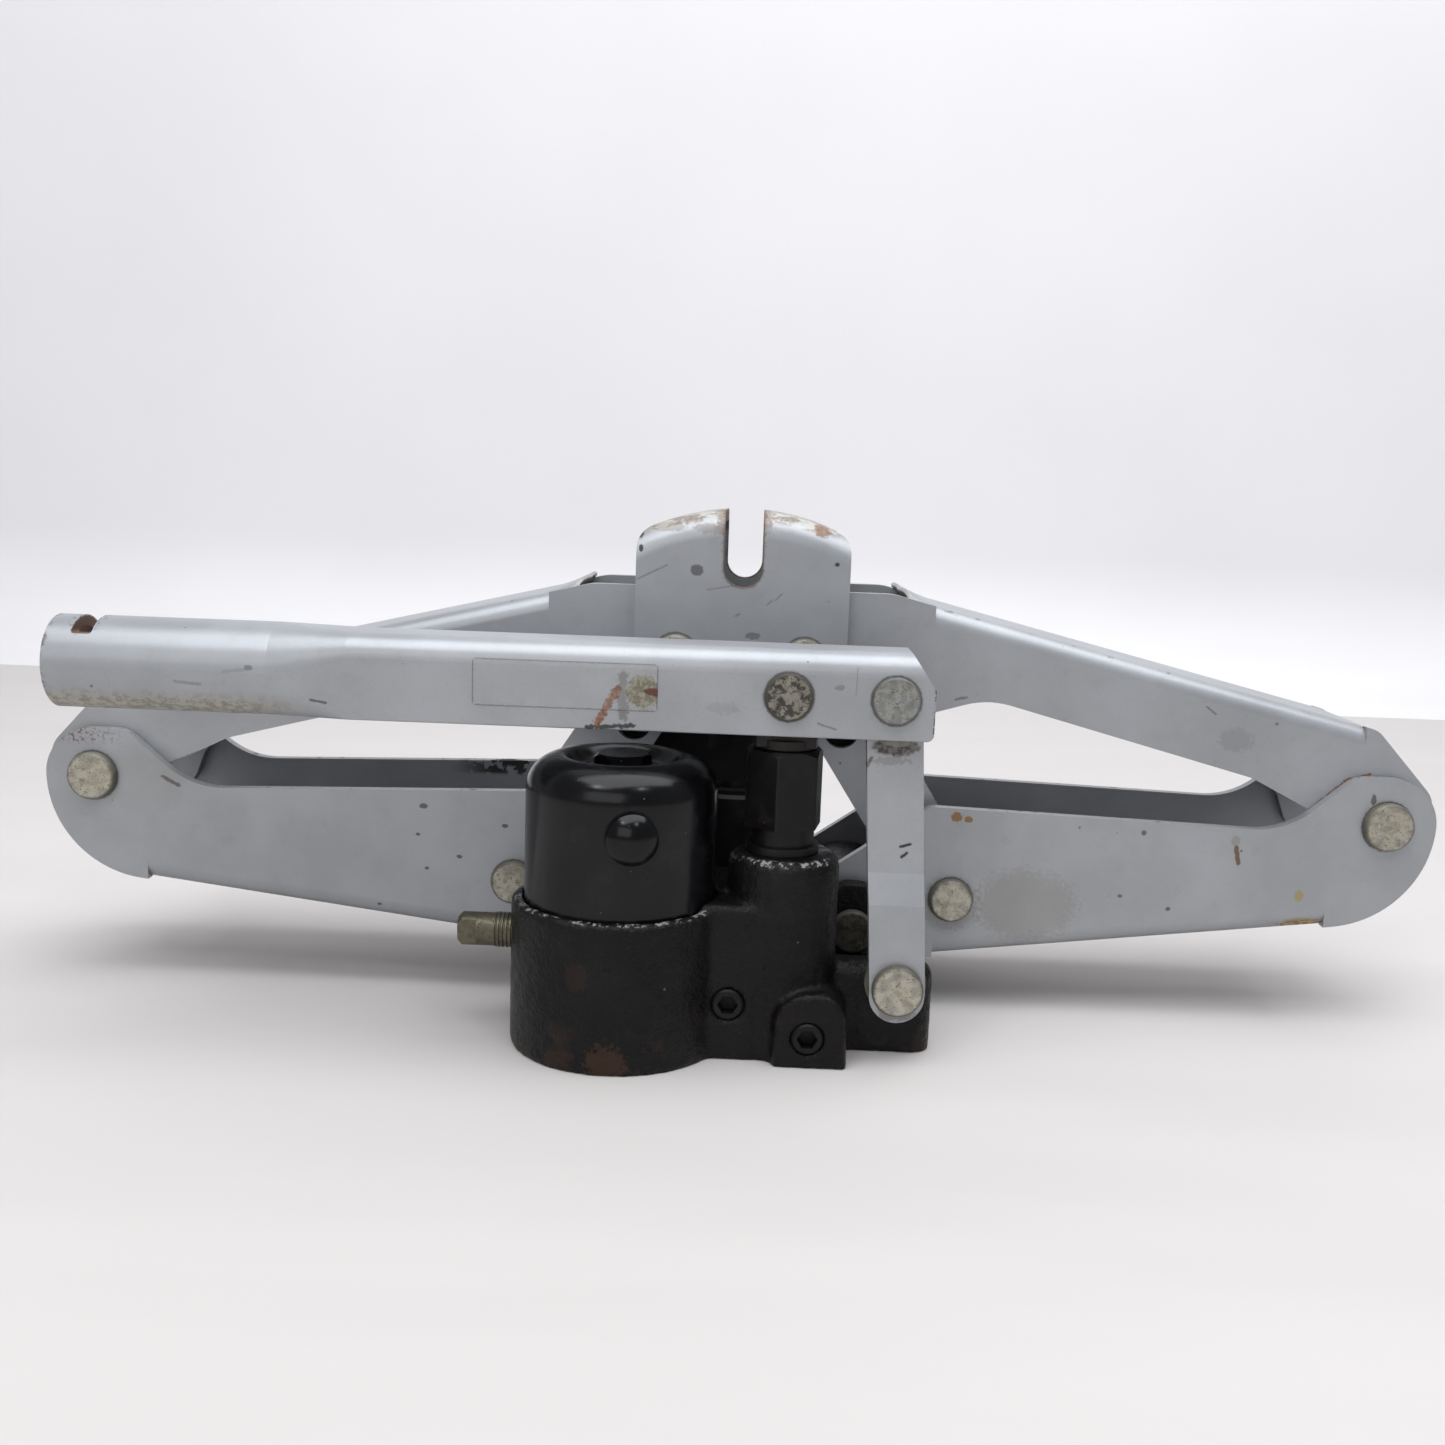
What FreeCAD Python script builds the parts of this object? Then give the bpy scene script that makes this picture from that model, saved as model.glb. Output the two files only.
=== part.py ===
import FreeCAD, Part
import math
import os

# Hydraulic scissor jack, shown folded to its lowest height. Millimetres, +Z up.
# The origin is on the floor, under the axis of the lifting ram. +X runs along the arms
# towards the pump link, -Y is the front, where the oil tank and the hand pump stand.

V = FreeCAD.Vector

# ---- Linkage ------------------------------------------------------------------------
BASE_PIN_X = 34.4
BASE_PIN_Z = 23.7
LIFT_PIN_X = 62.4
LIFT_PIN_Z = 32.0
ELBOW_X = 182.9
ELBOW_Z = 58.2
SADDLE_PIN_X = 17.9
SADDLE_PIN_Z = 98.8
CROSS_PIN_X = 31.0
CROSS_PIN_Z = 80.5

# ---- Fits and pins --------------------------------------------------------------------
RUNNING = 0.05
EASY = 0.3
PIN_R = 5.0
CROSS_PIN_R = 4.5
PUMP_PIN_R = 4.0
HEAD_R = 6.1
ELBOW_HEAD_R = 6.8
FOOT_HEAD_R = 6.6
HEAD_T = 2.6
HEAD_ROUND = 0.9
THROUGH = 30.0

# ---- Pressed steel arms ---------------------------------------------------------------
SHEET = 3.2
LOWER_HALF = 24.5
UPPER_HALF = 21.0
BEND = 5.0
BAR_RUN = 220.0
BAR_DEPTH = 90.0
ARM_LOW_Z = -50.0
ARM_HIGH_Z = 200.0
LOWER_OUTLINE = [
    (17.6, 9.8, 11.0), (196.5, 31.7, 30.0), (196.5, 71.8, 13.5), (173.5, 71.8, 9.0),
    (155.0, 55.6, 24.0), (55.2, 58.6, 4.0), (17.6, 32.3, 12.0),
]
LOWER_WEB = ((58.0, 14.8), (168.0, 28.2))
LOWER_WEB_ENDS = (58.0, 168.0)
UPPER_OUTLINE = [
    (2.6, 83.4, 15.2), (50.0, 83.4, 20.0), (70.0, 89.4, 24.0), (145.5, 69.8, 14.0),
    (166.5, 59.2, 6.0), (172.0, 44.7, 11.0), (196.4, 44.7, 13.0), (196.4, 66.0, 8.0),
    (179.2, 84.7, 6.0), (42.0, 117.7, 16.0), (2.6, 117.7, 15.2),
]
UPPER_WEB = ((42.0, 117.7), (179.2, 84.7))
UPPER_WEB_ENDS = (54.0, 176.0)

# ---- Meshing teeth of the upper arms ------------------------------------------------------
TOOTH_PITCH = 20.0
TOOTH_FIRST = 160.0
TOOTH_LAST = 240.0
TOOTH_ROOT = SADDLE_PIN_X - 2.3
TOOTH_TIP = SADDLE_PIN_X + 1.6
TOOTH_CLEAR = SADDLE_PIN_X + 6.0
TOOTH_INSET = 1.5
TOOTH_HALF_ANGLES = (7.6, 6.4, 2.0)

# ---- Saddle -------------------------------------------------------------------------------
SADDLE_PLAY = 1.2
SADDLE_SIDE = 29.6
SADDLE_LOW = 84.0
SADDLE_LOW_R = 9.0
SADDLE_OVER = 150.0
SADDLE_CROWN_R = 68.0
SADDLE_TOP = 139.3
SADDLE_CORNER_R = 6.5
SADDLE_BEND_R = 7.0
SADDLE_WIDE = 40.0
SLOT_R = 5.3
SLOT_Z = 123.5

# ---- Lifting links --------------------------------------------------------------------------
LINK_OUT = 17.3
LINK_SHEET = 4.5
LINK_WIDE = 10.5
EYE_DX = -1.35
EYE_DZ = -2.45
EYE_EASY = 0.5
SPACER_R = 8.5
SPACER_GAP = 0.1

# ---- Lifting ram ----------------------------------------------------------------------------
CYL_R = 20.0
BORE_R = 15.0
ROD_R = 11.0
CYL_LOW = 9.0
CYL_FLOOR = 4.0
CYL_TOP = 52.0
GLAND_TOP = 58.5
GLAND_SKIRT = 4.0
KEY_HALF = 2.5
PORT_Z = CYL_LOW + 6.5
PORT_R = 1.5
WIPER_DEPTH = 3.0
WIPER_WALL = 2.2
PISTON_LOW = 13.4
PISTON_TOP = 22.4
SEAL_LOW = 15.8
SEAL_HIGH = 19.8
SEAL_WALL = 3.0
SPIGOT_R = 7.0
CROSS_HALF = 41.0
CROSS_HALF_Y = 12.5
CROSS_LOW = CROSS_PIN_Z - 9.5
CROSS_HIGH = CROSS_PIN_Z + 9.0
CROSS_WAIST = CROSS_PIN_Z + 3.0
CROSS_WAIST_HALF = 13.2
CROSS_HUB_R = 15.0
CROSS_KEEL_LOW = 61.2
CROSS_KEEL_HALF = 24.0
CROSS_KEEL_R = 2.0
RING_ACROSS = 22.0
RING_TOP = CROSS_PIN_Z + 8.0

# ---- Base casting ---------------------------------------------------------------------------
FRONT_Y = -57.0
EAR_R = 13.5
SLOT_IN = 20.9
SLOT_OUT = 24.9
WALL_OUT = 31.0
FOOT_X = 48.0
FOOT_TOP = 5.5
POT_R = 24.5
POT_TOP = 36.0
TANK_X = -28.9
SEAT_R = 28.3
SEAT_TOP = 39.0
SEAT_RIM = 1.6
BOSS_X = 13.8
BOSS_R = 14.6
BOSS_TOP = 53.0
BOSS_RIM = 3.8
CUT_TOP = 80.0
LUG = [(12.0, 0.0, 0.0), (31.6, 0.0, 0.0), (31.0, 19.6, 7.5), (12.6, 19.6, 9.0)]
LUG_FRONT = -74.6
LUG_REAR = -36.0
LUG_ROUND = 1.6
SPINE = [(-30.0, -71.0, 1.0), (9.0, -71.0, 3.0), (9.0, -30.0, 1.0), (-30.0, -30.0, 1.0)]
SPINE_TOP = 41.0
LINK_BLOCK = [(18.0, -61.0, 2.0), (54.4, -61.0, 5.0), (54.4, -49.0, 4.0), (18.0, -49.0, 2.0)]
LINK_BLOCK_TOP = 23.6
HEEL = [(18.0, -53.0, 2.0), (47.0, -53.0, 4.0), (47.0, -26.0, 1.0), (18.0, -26.0, 1.0)]
HEEL_TOP = 17.0
BACK = [(-48.0, -48.0, 6.0), (25.0, -48.0, 6.0), (25.0, -26.0, 1.0), (-48.0, -26.0, 1.0)]
BACK_TOP = 36.0

# ---- Oil tank -------------------------------------------------------------------------------
TANK_R = 25.0
TANK_TOP = 76.4
TANK_FOOT = 36.0
TANK_WALL = 2.0
TANK_SHOULDER = 9.0
TANK_DISH = 3.6
CREST_R = 1.6
SEAL_T = 3.0
SEAL_WIDE = 4.0
FIT = 0.2
BOLT_R = 4.0
BOLT_LOW = 24.0
BOLT_HOLE_LOW = 22.0
BOLT_HEAD = 3.0
BOLT_ACROSS = 13.0
WASHER_R = 9.0
WASHER_T = 1.0
FILL_Z = 60.0
FILL_TURN = 11.0
FILL_R = 4.5

# ---- Hand pump ------------------------------------------------------------------------------
PUMP_X = 13.0
PLUNGER_R = 5.0
SPIGOT_BORE = 7.6
GLAND_FOOT = 40.0
PACKING_T = 4.0
STEP_R = 9.6
STEP_TOP = 55.0
COLLAR_R = 8.3
HEX_LOW = 59.7
HEX_TOP = 80.0
HEX_ACROSS = 18.4
HEX_BEVEL_R = 10.4
HEX_BEVEL = 1.4
STOP_R = 8.2
HEX_TURN = 20.0
EYE_PLAY = 1.0
EYE_R = 7.5
EYE_HALF = 6.5
BARREL_LOW = 24.0
WAY_R = 3.6
WAY_LOW = 12.0
BALL_Z = 14.6
BALL_R = 2.5
PLUG_SPOTS = [(0.6, 14.8), (21.2, 7.8)]
PLUG_FRONTS = [-70.9, -74.5]
PLUG_REAR = -66.0
PLUG_R = 4.1
PLUG_ACROSS = 4.6
PLUG_DEPTH = 3.5
DRILL_R = 1.8
DRILL_REAR = FRONT_Y + 14.0

# ---- Pump link ------------------------------------------------------------------------------
LEVER_Z = 94.7
LEVER_PIN_X = 39.6
LINK_FOOT_X = 43.9
LINK_FOOT_Z = 19.9
LINK_HALF = 7.1
FOOT_DROP = 1.9
LINK_EYE_R = 5.9
LINK_SHOULDER = 9.0
LINK_T = 4.5
LINK_BACK_TOP = -61.3
LINK_BACK_FOOT = -63.6
LINK_BEND_LOW = 42.0
LINK_BEND_HIGH = 50.0
LINK_END = 80.0
FOOT_PIN_REAR = -50.0
FOOT_WASHER_R = 8.0
BLOCK_FACE = -61.0

# ---- Lever ----------------------------------------------------------------------------------
LEVER_LEFT = -174.8
LEVER_RIGHT = 49.4
ROUND_END = -118.0
FLAT_START = -98.0
MOUTH_START = -104.0
LEVER_WALL = 2.8
LEVER_HALF = 12.0
LEVER_MID = 95.4
LEVER_UP = 10.8
LEVER_BEND = 6.0
LEVER_LOW_R = 0.5
NOTCH_LEFT = -168.4
NOTCH_RIGHT = -163.0
NOTCH_Z = 103.4
NOTCH_R = 0.8
END_SLOPE = 7.0
SLOPE_HIGH = 108.0
SLOPE_LOW = 97.5
LEVER_OVER = 112.0
END_ROUND = 2.0
LEVER_HEAD_R = 6.0
LEVER_HEAD_T = 1.6
LEVER_TAIL_R = 5.6
LEVER_TAIL_T = 1.4
LABEL_X = (-66.0, -19.6)
LABEL_Z = (89.6, 101.6)
LABEL_T = 0.12

# ---- Release valve --------------------------------------------------------------------------
SCREW_Z = 28.0
HEAD_LEFT = -71.2
HEAD_RIGHT = -61.2
SCREW_HEAD_R = 4.4
SCREW_R = 4.65
SCREW_TIP = -40.2
FLAT_HALF = 3.0
FLAT_RUN = 5.0
THREAD_FIRST = -60.9
THREAD_PITCH = 1.05
THREAD_COUNT = 6
THREAD_R = 0.32
RELEASE_BALL_X = -36.4
RELEASE_BALL_R = 1.9


# ---- Helpers ------------------------------------------------------------------------------
def box(x0, x1, y0, y1, z0, z1):
    return Part.makeBox(x1 - x0, y1 - y0, z1 - z0, V(x0, y0, z0))


def rod_x(y, z, r, x0, x1):
    return Part.makeCylinder(r, x1 - x0, V(x0, y, z), V(1, 0, 0))


def rod_y(x, z, r, y0=-THROUGH, y1=THROUGH):
    return Part.makeCylinder(r, y1 - y0, V(x, y0, z), V(0, 1, 0))


def rod_z(x, y, r, z0, z1):
    return Part.makeCylinder(r, z1 - z0, V(x, y, z0), V(0, 0, 1))


def front_hole(x, z, r):
    """Cutter right through the pieces that stand in front."""
    return rod_y(x, z, r, FRONT_Y - THROUGH, FRONT_Y + THROUGH)


def fuse(first, *others):
    return first.fuse(list(others)).removeSplitter()


def mirror(shape):
    """The same shape on the other side of the jack's middle plane."""
    return shape.mirror(V(0, 0, 0), V(1, 0, 0))


def rounded_wire(corners, place):
    """A closed wire of straight edges joined by arcs. corners are (u, v, radius)."""
    count = len(corners)
    starts = []
    ends = []
    mids = []
    for i in range(count):
        u, v, r = corners[i]
        here = V(u, v, 0)
        before = V(corners[i - 1][0], corners[i - 1][1], 0) - here
        after = V(corners[(i + 1) % count][0], corners[(i + 1) % count][1], 0) - here
        half = before.getAngle(after) / 2
        run = r / math.tan(half)
        before.normalize()
        after.normalize()
        middle = before + after
        middle.normalize()
        starts.append(here + before * run)
        ends.append(here + after * run)
        mids.append(here + middle * (r / math.sin(half) - r))
    edges = []
    for i in range(count):
        if corners[i][2] > 0:
            edges.append(Part.Arc(place(starts[i]), place(mids[i]), place(ends[i])).toShape())
        nxt = (i + 1) % count
        if (starts[nxt] - ends[i]).Length > 1e-4:
            edges.append(Part.makeLine(place(ends[i]), place(starts[nxt])))
    return Part.Wire(edges)


def prism(points, along):
    """A straight prism on a closed polygon."""
    return Part.Face(Part.makePolygon(points + points[:1])).extrude(along)


def profile_xz(corners, y0, y1):
    """A flat plate with its outline in the XZ plane, from y0 to y1."""
    wire = rounded_wire(corners, lambda p: V(p.x, y0, p.y))
    return Part.Face(wire).extrude(V(0, y1 - y0, 0))


def profile_xy(corners, z0, z1):
    """An upright block with its outline in the XY plane, from z0 to z1."""
    wire = rounded_wire(corners, lambda p: V(p.x, p.y, z0))
    return Part.Face(wire).extrude(V(0, 0, z1 - z0))


def hexagon(x, y, across, z0, z1, turn=0.0):
    r = across / math.sqrt(3)
    pts = []
    for k in range(6):
        a = math.radians(60 * k + turn)
        pts.append(V(x + r * math.cos(a), y + r * math.sin(a), z0))
    return prism(pts, V(0, 0, z1 - z0))


def edges_where(shape, test):
    found = []
    for edge in shape.Edges:
        mid = edge.valueAt((edge.FirstParameter + edge.LastParameter) / 2)
        if test(mid):
            found.append(edge)
    return found


def round_top(shape, z, r):
    """Rounds the rim at height z."""
    return shape.makeFillet(r, edges_where(shape, lambda m: m.z > z - 0.01))


def bevel_top(shape, z, size):
    return shape.makeChamfer(size, edges_where(shape, lambda m: m.z > z - 0.01))


def spun(points):
    """A solid turned about the Z axis from (radius, height) points."""
    wire = Part.makePolygon([V(r, 0, z) for r, z in points + points[:1]])
    return Part.Face(wire).revolve(V(0, 0, 0), V(0, 0, 1), 360)


def spun_ring(points, x, y):
    ring = spun(points)
    ring.translate(V(x, y, 0))
    return ring


def rivet_head(x, z, r, y0, y1, outer, rounding=HEAD_ROUND):
    """A low head on a cross pin, rounded at its outer rim."""
    head = rod_y(x, z, r, y0, y1)
    return head.makeFillet(rounding, edges_where(head, lambda m: abs(m.y - outer) < 0.01))


def headed_pin(x, z, head_r=HEAD_R):
    """A riveted cross pin through both lower plates, with a low head at each end."""
    out = LOWER_HALF + HEAD_T
    pin = rod_y(x, z, PIN_R, -LOWER_HALF, LOWER_HALF)
    return fuse(pin, rivet_head(x, z, head_r, -out, -LOWER_HALF, -out),
                rivet_head(x, z, head_r, LOWER_HALF, out, out))


def bent_bar(start, end, half, side, bend=BEND):
    """Solid bar under (side -1) or over (side 1) a sheet line, its two outer bends rounded."""
    a = V(start[0], 0, start[1])
    along = V(end[0], 0, end[1]) - a
    length = along.Length
    along.normalize()
    up = V(-along.z, 0, along.x)
    far = side * BAR_DEPTH
    pts = [(-half, 0.0, bend), (-half, far, 0.0), (half, far, 0.0), (half, 0.0, bend)]
    base = a - along * BAR_RUN
    wire = rounded_wire(pts, lambda p: base + V(0, p.x, 0) + up * p.y)
    return Part.Face(wire).extrude(along * (length + 2 * BAR_RUN))


def channel_arm(corners, half, line, side, web):
    """A pressed channel: two plates with one outline, joined by a web along one straight edge."""
    full = profile_xz(corners, -half, half)
    zone = box(web[0], web[1], -half - 1, half + 1, ARM_LOW_Z, ARM_HIGH_Z)
    back = full.common(zone).common(bent_bar(*line, half, side))
    inner = box(web[0] - 1, web[1] + 1, -half + SHEET, half - SHEET, ARM_LOW_Z, ARM_HIGH_Z)
    hollow = bent_bar(*line, half - SHEET, side, BEND - SHEET)
    rise = V(line[0][1] - line[1][1], 0, line[1][0] - line[0][0])
    rise.normalize()
    hollow.translate(rise * (side * SHEET))
    back = back.cut(inner.common(hollow))
    ends = full.cut(zone)
    plates = []
    for y0 in (-half, half - SHEET):
        plates.append(ends.common(box(-BAR_RUN, 2 * BAR_RUN, y0, y0 + SHEET, ARM_LOW_Z, ARM_HIGH_Z)))
    return fuse(back, *plates)


def tooth_sector(phase, y0, y1):
    """Straight flanked teeth round the saddle pin, from the first angle to the last."""
    radii = (TOOTH_ROOT - TOOTH_INSET, TOOTH_ROOT, TOOTH_TIP)
    teeth = []
    for k in range(int(round((TOOTH_LAST - TOOTH_FIRST) / TOOTH_PITCH)) + 1):
        middle = math.radians(TOOTH_FIRST + TOOTH_PITCH * k + phase)
        flank = [(r, -math.radians(half)) for r, half in zip(radii, TOOTH_HALF_ANGLES)]
        flank += [(r, -a) for r, a in reversed(flank)]
        flat = []
        for r, a in flank:
            flat.append(V(SADDLE_PIN_X + r * math.cos(middle + a), y0,
                          SADDLE_PIN_Z + r * math.sin(middle + a)))
        teeth.append(prism(flat, V(0, y1 - y0, 0)))
    return teeth


# ---- Scissor linkage --------------------------------------------------------------------
def lower_arm():
    arm = channel_arm(LOWER_OUTLINE, LOWER_HALF, LOWER_WEB, 1, LOWER_WEB_ENDS)
    return arm.cut([rod_y(BASE_PIN_X, BASE_PIN_Z, PIN_R + RUNNING),
                    rod_y(LIFT_PIN_X, LIFT_PIN_Z, PIN_R),
                    rod_y(ELBOW_X, ELBOW_Z, PIN_R)])


def upper_arm(phase):
    """phase shifts the teeth by a fraction of their pitch, so that the two arms mesh."""
    arm = channel_arm(UPPER_OUTLINE, UPPER_HALF, UPPER_WEB, -1, UPPER_WEB_ENDS)
    keep_out = []
    teeth = []
    for y0 in (-UPPER_HALF, UPPER_HALF - SHEET):
        y1 = y0 + SHEET
        teeth += tooth_sector(phase, y0, y1)
        relief = rod_y(SADDLE_PIN_X, SADDLE_PIN_Z, TOOTH_CLEAR, y0, y1)
        relief = relief.cut(rod_y(SADDLE_PIN_X, SADDLE_PIN_Z, TOOTH_ROOT, y0, y1))
        inner_side = box(-THROUGH, SADDLE_PIN_X - 6.0, -THROUGH, THROUGH, 60.0, 118.0)
        keep_out.append(relief.common(inner_side))
    return fuse(arm.cut(keep_out), *teeth)


def upper_arm_left():
    arm = mirror(upper_arm(TOOTH_PITCH / 2))
    return arm.cut([rod_y(-SADDLE_PIN_X, SADDLE_PIN_Z, PIN_R + RUNNING),
                    rod_y(-ELBOW_X, ELBOW_Z, PIN_R + RUNNING)])


def upper_arm_right():
    """Its saddle hole is wider than the pin, to take up the play of the folding linkage."""
    return upper_arm(0.0).cut([rod_y(SADDLE_PIN_X, SADDLE_PIN_Z, PIN_R + SADDLE_PLAY),
                               rod_y(ELBOW_X, ELBOW_Z, PIN_R + RUNNING)])


def crown_disc(r, half, rounding):
    """Thick disc behind the saddle's crown, with both its rims rounded like the bent sheet."""
    disc = rod_y(0, SADDLE_TOP - SADDLE_CROWN_R, r, -half, half)
    return disc.makeFillet(rounding, edges_where(disc, lambda m: abs(abs(m.y) - half) < 0.01))


def saddle():
    """Bent cap with a crowned top, two cheeks and the slot that takes the car's sill."""
    corners = [(-SADDLE_SIDE, SADDLE_LOW, SADDLE_LOW_R), (SADDLE_SIDE, SADDLE_LOW, SADDLE_LOW_R),
               (SADDLE_SIDE, SADDLE_OVER, 0.0), (-SADDLE_SIDE, SADDLE_OVER, 0.0)]
    outline = profile_xz(corners, -SADDLE_WIDE, SADDLE_WIDE)
    crown_z = SADDLE_TOP - SADDLE_CROWN_R
    outline = outline.common(rod_y(0, crown_z, SADDLE_CROWN_R, -SADDLE_WIDE, SADDLE_WIDE))
    ends = edges_where(outline, lambda m: abs(abs(m.x) - SADDLE_SIDE) < 0.2 and m.z > SLOT_Z
                       and abs(m.y) < 1.0)
    outline = outline.makeFillet(SADDLE_CORNER_R, ends)
    body = outline.common(crown_disc(SADDLE_CROWN_R, LOWER_HALF, SADDLE_BEND_R))
    inside = crown_disc(SADDLE_CROWN_R - SHEET, LOWER_HALF - SHEET, SADDLE_BEND_R - SHEET)
    slot = fuse(rod_y(0, SLOT_Z, SLOT_R, -SADDLE_WIDE, SADDLE_WIDE),
                box(-SLOT_R, SLOT_R, -SADDLE_WIDE, SADDLE_WIDE, SLOT_Z, SADDLE_OVER))
    holes = [rod_y(side * SADDLE_PIN_X, SADDLE_PIN_Z, PIN_R) for side in (-1, 1)]
    return body.cut([inside, slot] + holes)


def long_hole(x, z, dx, dz, r):
    """Cutter for a hole that is drawn out from (x, z) by (dx, dz)."""
    run = V(dx, 0, dz)
    out = V(-dz, 0, dx)
    out.normalize()
    near = V(x, -THROUGH, z)
    pts = [near + out * r, near + run + out * r, near + run - out * r, near - out * r]
    return fuse(prism(pts, V(0, 2 * THROUGH, 0)), rod_y(x, z, r), rod_y(x + dx, z + dz, r))


def lift_link(sign):
    """One lifting link of the right side. Its upper eye is drawn out to give the ram's pin play."""
    y0 = LINK_OUT - LINK_SHEET if sign > 0 else -LINK_OUT
    y1 = y0 + LINK_SHEET
    run = V(CROSS_PIN_X - LIFT_PIN_X, 0, CROSS_PIN_Z - LIFT_PIN_Z)
    out = V(-run.z, 0, run.x)
    out.normalize()
    foot = V(LIFT_PIN_X, y0, LIFT_PIN_Z)
    pts = [foot - out * LINK_WIDE, foot + run - out * LINK_WIDE,
           foot + run + out * LINK_WIDE, foot + out * LINK_WIDE]
    link = fuse(prism(pts, V(0, LINK_SHEET, 0)),
                rod_y(LIFT_PIN_X, LIFT_PIN_Z, LINK_WIDE, y0, y1),
                rod_y(CROSS_PIN_X, CROSS_PIN_Z, LINK_WIDE, y0, y1))
    return link.cut([rod_y(LIFT_PIN_X, LIFT_PIN_Z, PIN_R + RUNNING),
                     long_hole(CROSS_PIN_X, CROSS_PIN_Z, EYE_DX, EYE_DZ, CROSS_PIN_R + EYE_EASY)])


def lift_spacers():
    """Rings that keep the links off the arm plates, one at each end of the lift pin."""
    thick = UPPER_HALF - LINK_OUT - SPACER_GAP
    rings = []
    for y0 in (-UPPER_HALF, LINK_OUT + SPACER_GAP):
        ring = rod_y(LIFT_PIN_X, LIFT_PIN_Z, SPACER_R, y0, y0 + thick)
        rings.append(ring.cut(rod_y(LIFT_PIN_X, LIFT_PIN_Z, PIN_R + RUNNING)))
    return Part.makeCompound(rings)


# ---- Ram -----------------------------------------------------------------------------------
def ram_cylinder():
    tube = rod_z(0, 0, CYL_R, CYL_LOW, CYL_TOP)
    bore = rod_z(0, 0, BORE_R, CYL_LOW + CYL_FLOOR, CYL_TOP + 1)
    port = rod_y(0, PORT_Z, PORT_R, -CYL_R - 1, -BORE_R + 2)
    return tube.cut([bore, port])


def ram_gland():
    """Screwed cap of the ram: a skirt inside the bore and a round head with a key groove."""
    head = bevel_top(rod_z(0, 0, CYL_R, CYL_TOP, GLAND_TOP), GLAND_TOP, 1.0)
    skirt = rod_z(0, 0, BORE_R, CYL_TOP - GLAND_SKIRT, CYL_TOP)
    groove = rod_z(0, 0, ROD_R + WIPER_WALL, GLAND_TOP - WIPER_DEPTH, GLAND_TOP + 1)
    keys = box(-CYL_R - 1, CYL_R + 1, -KEY_HALF, KEY_HALF, GLAND_TOP - KEY_HALF, GLAND_TOP + 1)
    return fuse(head, skirt).cut([rod_z(0, 0, ROD_R + RUNNING, 0, CUT_TOP), groove, keys])


def rod_wiper():
    low = GLAND_TOP - WIPER_DEPTH
    return spun([(ROD_R + RUNNING, low), (ROD_R + WIPER_WALL, low), (ROD_R + WIPER_WALL, GLAND_TOP),
                 (ROD_R + 0.8, GLAND_TOP + 0.6), (ROD_R + RUNNING, GLAND_TOP)])


def ram_rod():
    """Piston and rod in one piece, with a shouldered spigot at the top for the crosshead."""
    piston = rod_z(0, 0, BORE_R - RUNNING, PISTON_LOW, PISTON_TOP)
    groove = rod_z(0, 0, BORE_R + 1, SEAL_LOW, SEAL_HIGH)
    groove = groove.cut(rod_z(0, 0, BORE_R - SEAL_WALL, 0, CUT_TOP))
    rod = rod_z(0, 0, ROD_R, PISTON_TOP - 1, CROSS_LOW)
    spigot = rod_z(0, 0, SPIGOT_R, CROSS_LOW - 0.5, CROSS_HIGH)
    return fuse(piston, rod, spigot).cut(groove)


def piston_seal():
    return spun([(BORE_R - SEAL_WALL, SEAL_LOW), (BORE_R - RUNNING, SEAL_LOW),
                 (BORE_R - RUNNING, SEAL_HIGH), (BORE_R - SEAL_WALL, SEAL_HIGH)])


def crosshead():
    """The ram's bar, with a bored ear for each pair of links. Its middle is cut down for the nut."""
    corners = [(-CROSS_HALF, CROSS_LOW, 9.0), (CROSS_HALF, CROSS_LOW, 9.0),
               (CROSS_HALF, CROSS_HIGH, 9.0), (-CROSS_HALF, CROSS_HIGH, 9.0)]
    bar = profile_xz(corners, -CROSS_HALF_Y, CROSS_HALF_Y)
    bar = bar.cut(box(-CROSS_WAIST_HALF, CROSS_WAIST_HALF, -CYL_R, CYL_R, CROSS_WAIST, CROSS_HIGH + 1))
    keel = [(-CROSS_KEEL_HALF, CROSS_KEEL_LOW, CROSS_KEEL_R), (CROSS_KEEL_HALF, CROSS_KEEL_LOW, CROSS_KEEL_R),
            (CROSS_KEEL_HALF, CROSS_WAIST, 0.0), (-CROSS_KEEL_HALF, CROSS_WAIST, 0.0)]
    keel = profile_xz(keel, -CROSS_HALF_Y, CROSS_HALF_Y).cut(rod_z(0, 0, ROD_R + RUNNING, 0, CROSS_LOW))
    bar = bar.fuse(keel)
    body = fuse(bar, rod_z(0, 0, CROSS_HUB_R, CROSS_LOW, CROSS_WAIST))
    holes = [rod_z(0, 0, SPIGOT_R, CROSS_LOW - 1, CROSS_HIGH + 1)]
    for side in (-1, 1):
        holes.append(rod_y(side * CROSS_PIN_X, CROSS_PIN_Z, CROSS_PIN_R))
    return body.cut(holes)


def crosshead_ring():
    """Hexagon nut that holds the crosshead down on the rod's shoulder."""
    ring = hexagon(0, 0, RING_ACROSS, CROSS_WAIST, RING_TOP)
    return ring.cut(rod_z(0, 0, SPIGOT_R, CROSS_LOW, CROSS_HIGH + 1))


def crosshead_pins():
    pins = []
    for side in (-1, 1):
        pins.append(rod_y(side * CROSS_PIN_X, CROSS_PIN_Z, CROSS_PIN_R, -LINK_OUT, LINK_OUT))
    return Part.makeCompound(pins)


# ---- Base casting --------------------------------------------------------------------------
def ear_wall(y0, y1):
    """Wall across the jack with a rounded ear round each arm's pivot."""
    corners = [(-FOOT_X, 0, 2), (FOOT_X, 0, 2), (FOOT_X, BASE_PIN_Z, 0), (-FOOT_X, BASE_PIN_Z, 0)]
    ears = [rod_y(side * BASE_PIN_X, BASE_PIN_Z, EAR_R, y0, y1) for side in (-1, 1)]
    return profile_xz(corners, y0, y1).fuse(ears)


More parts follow.
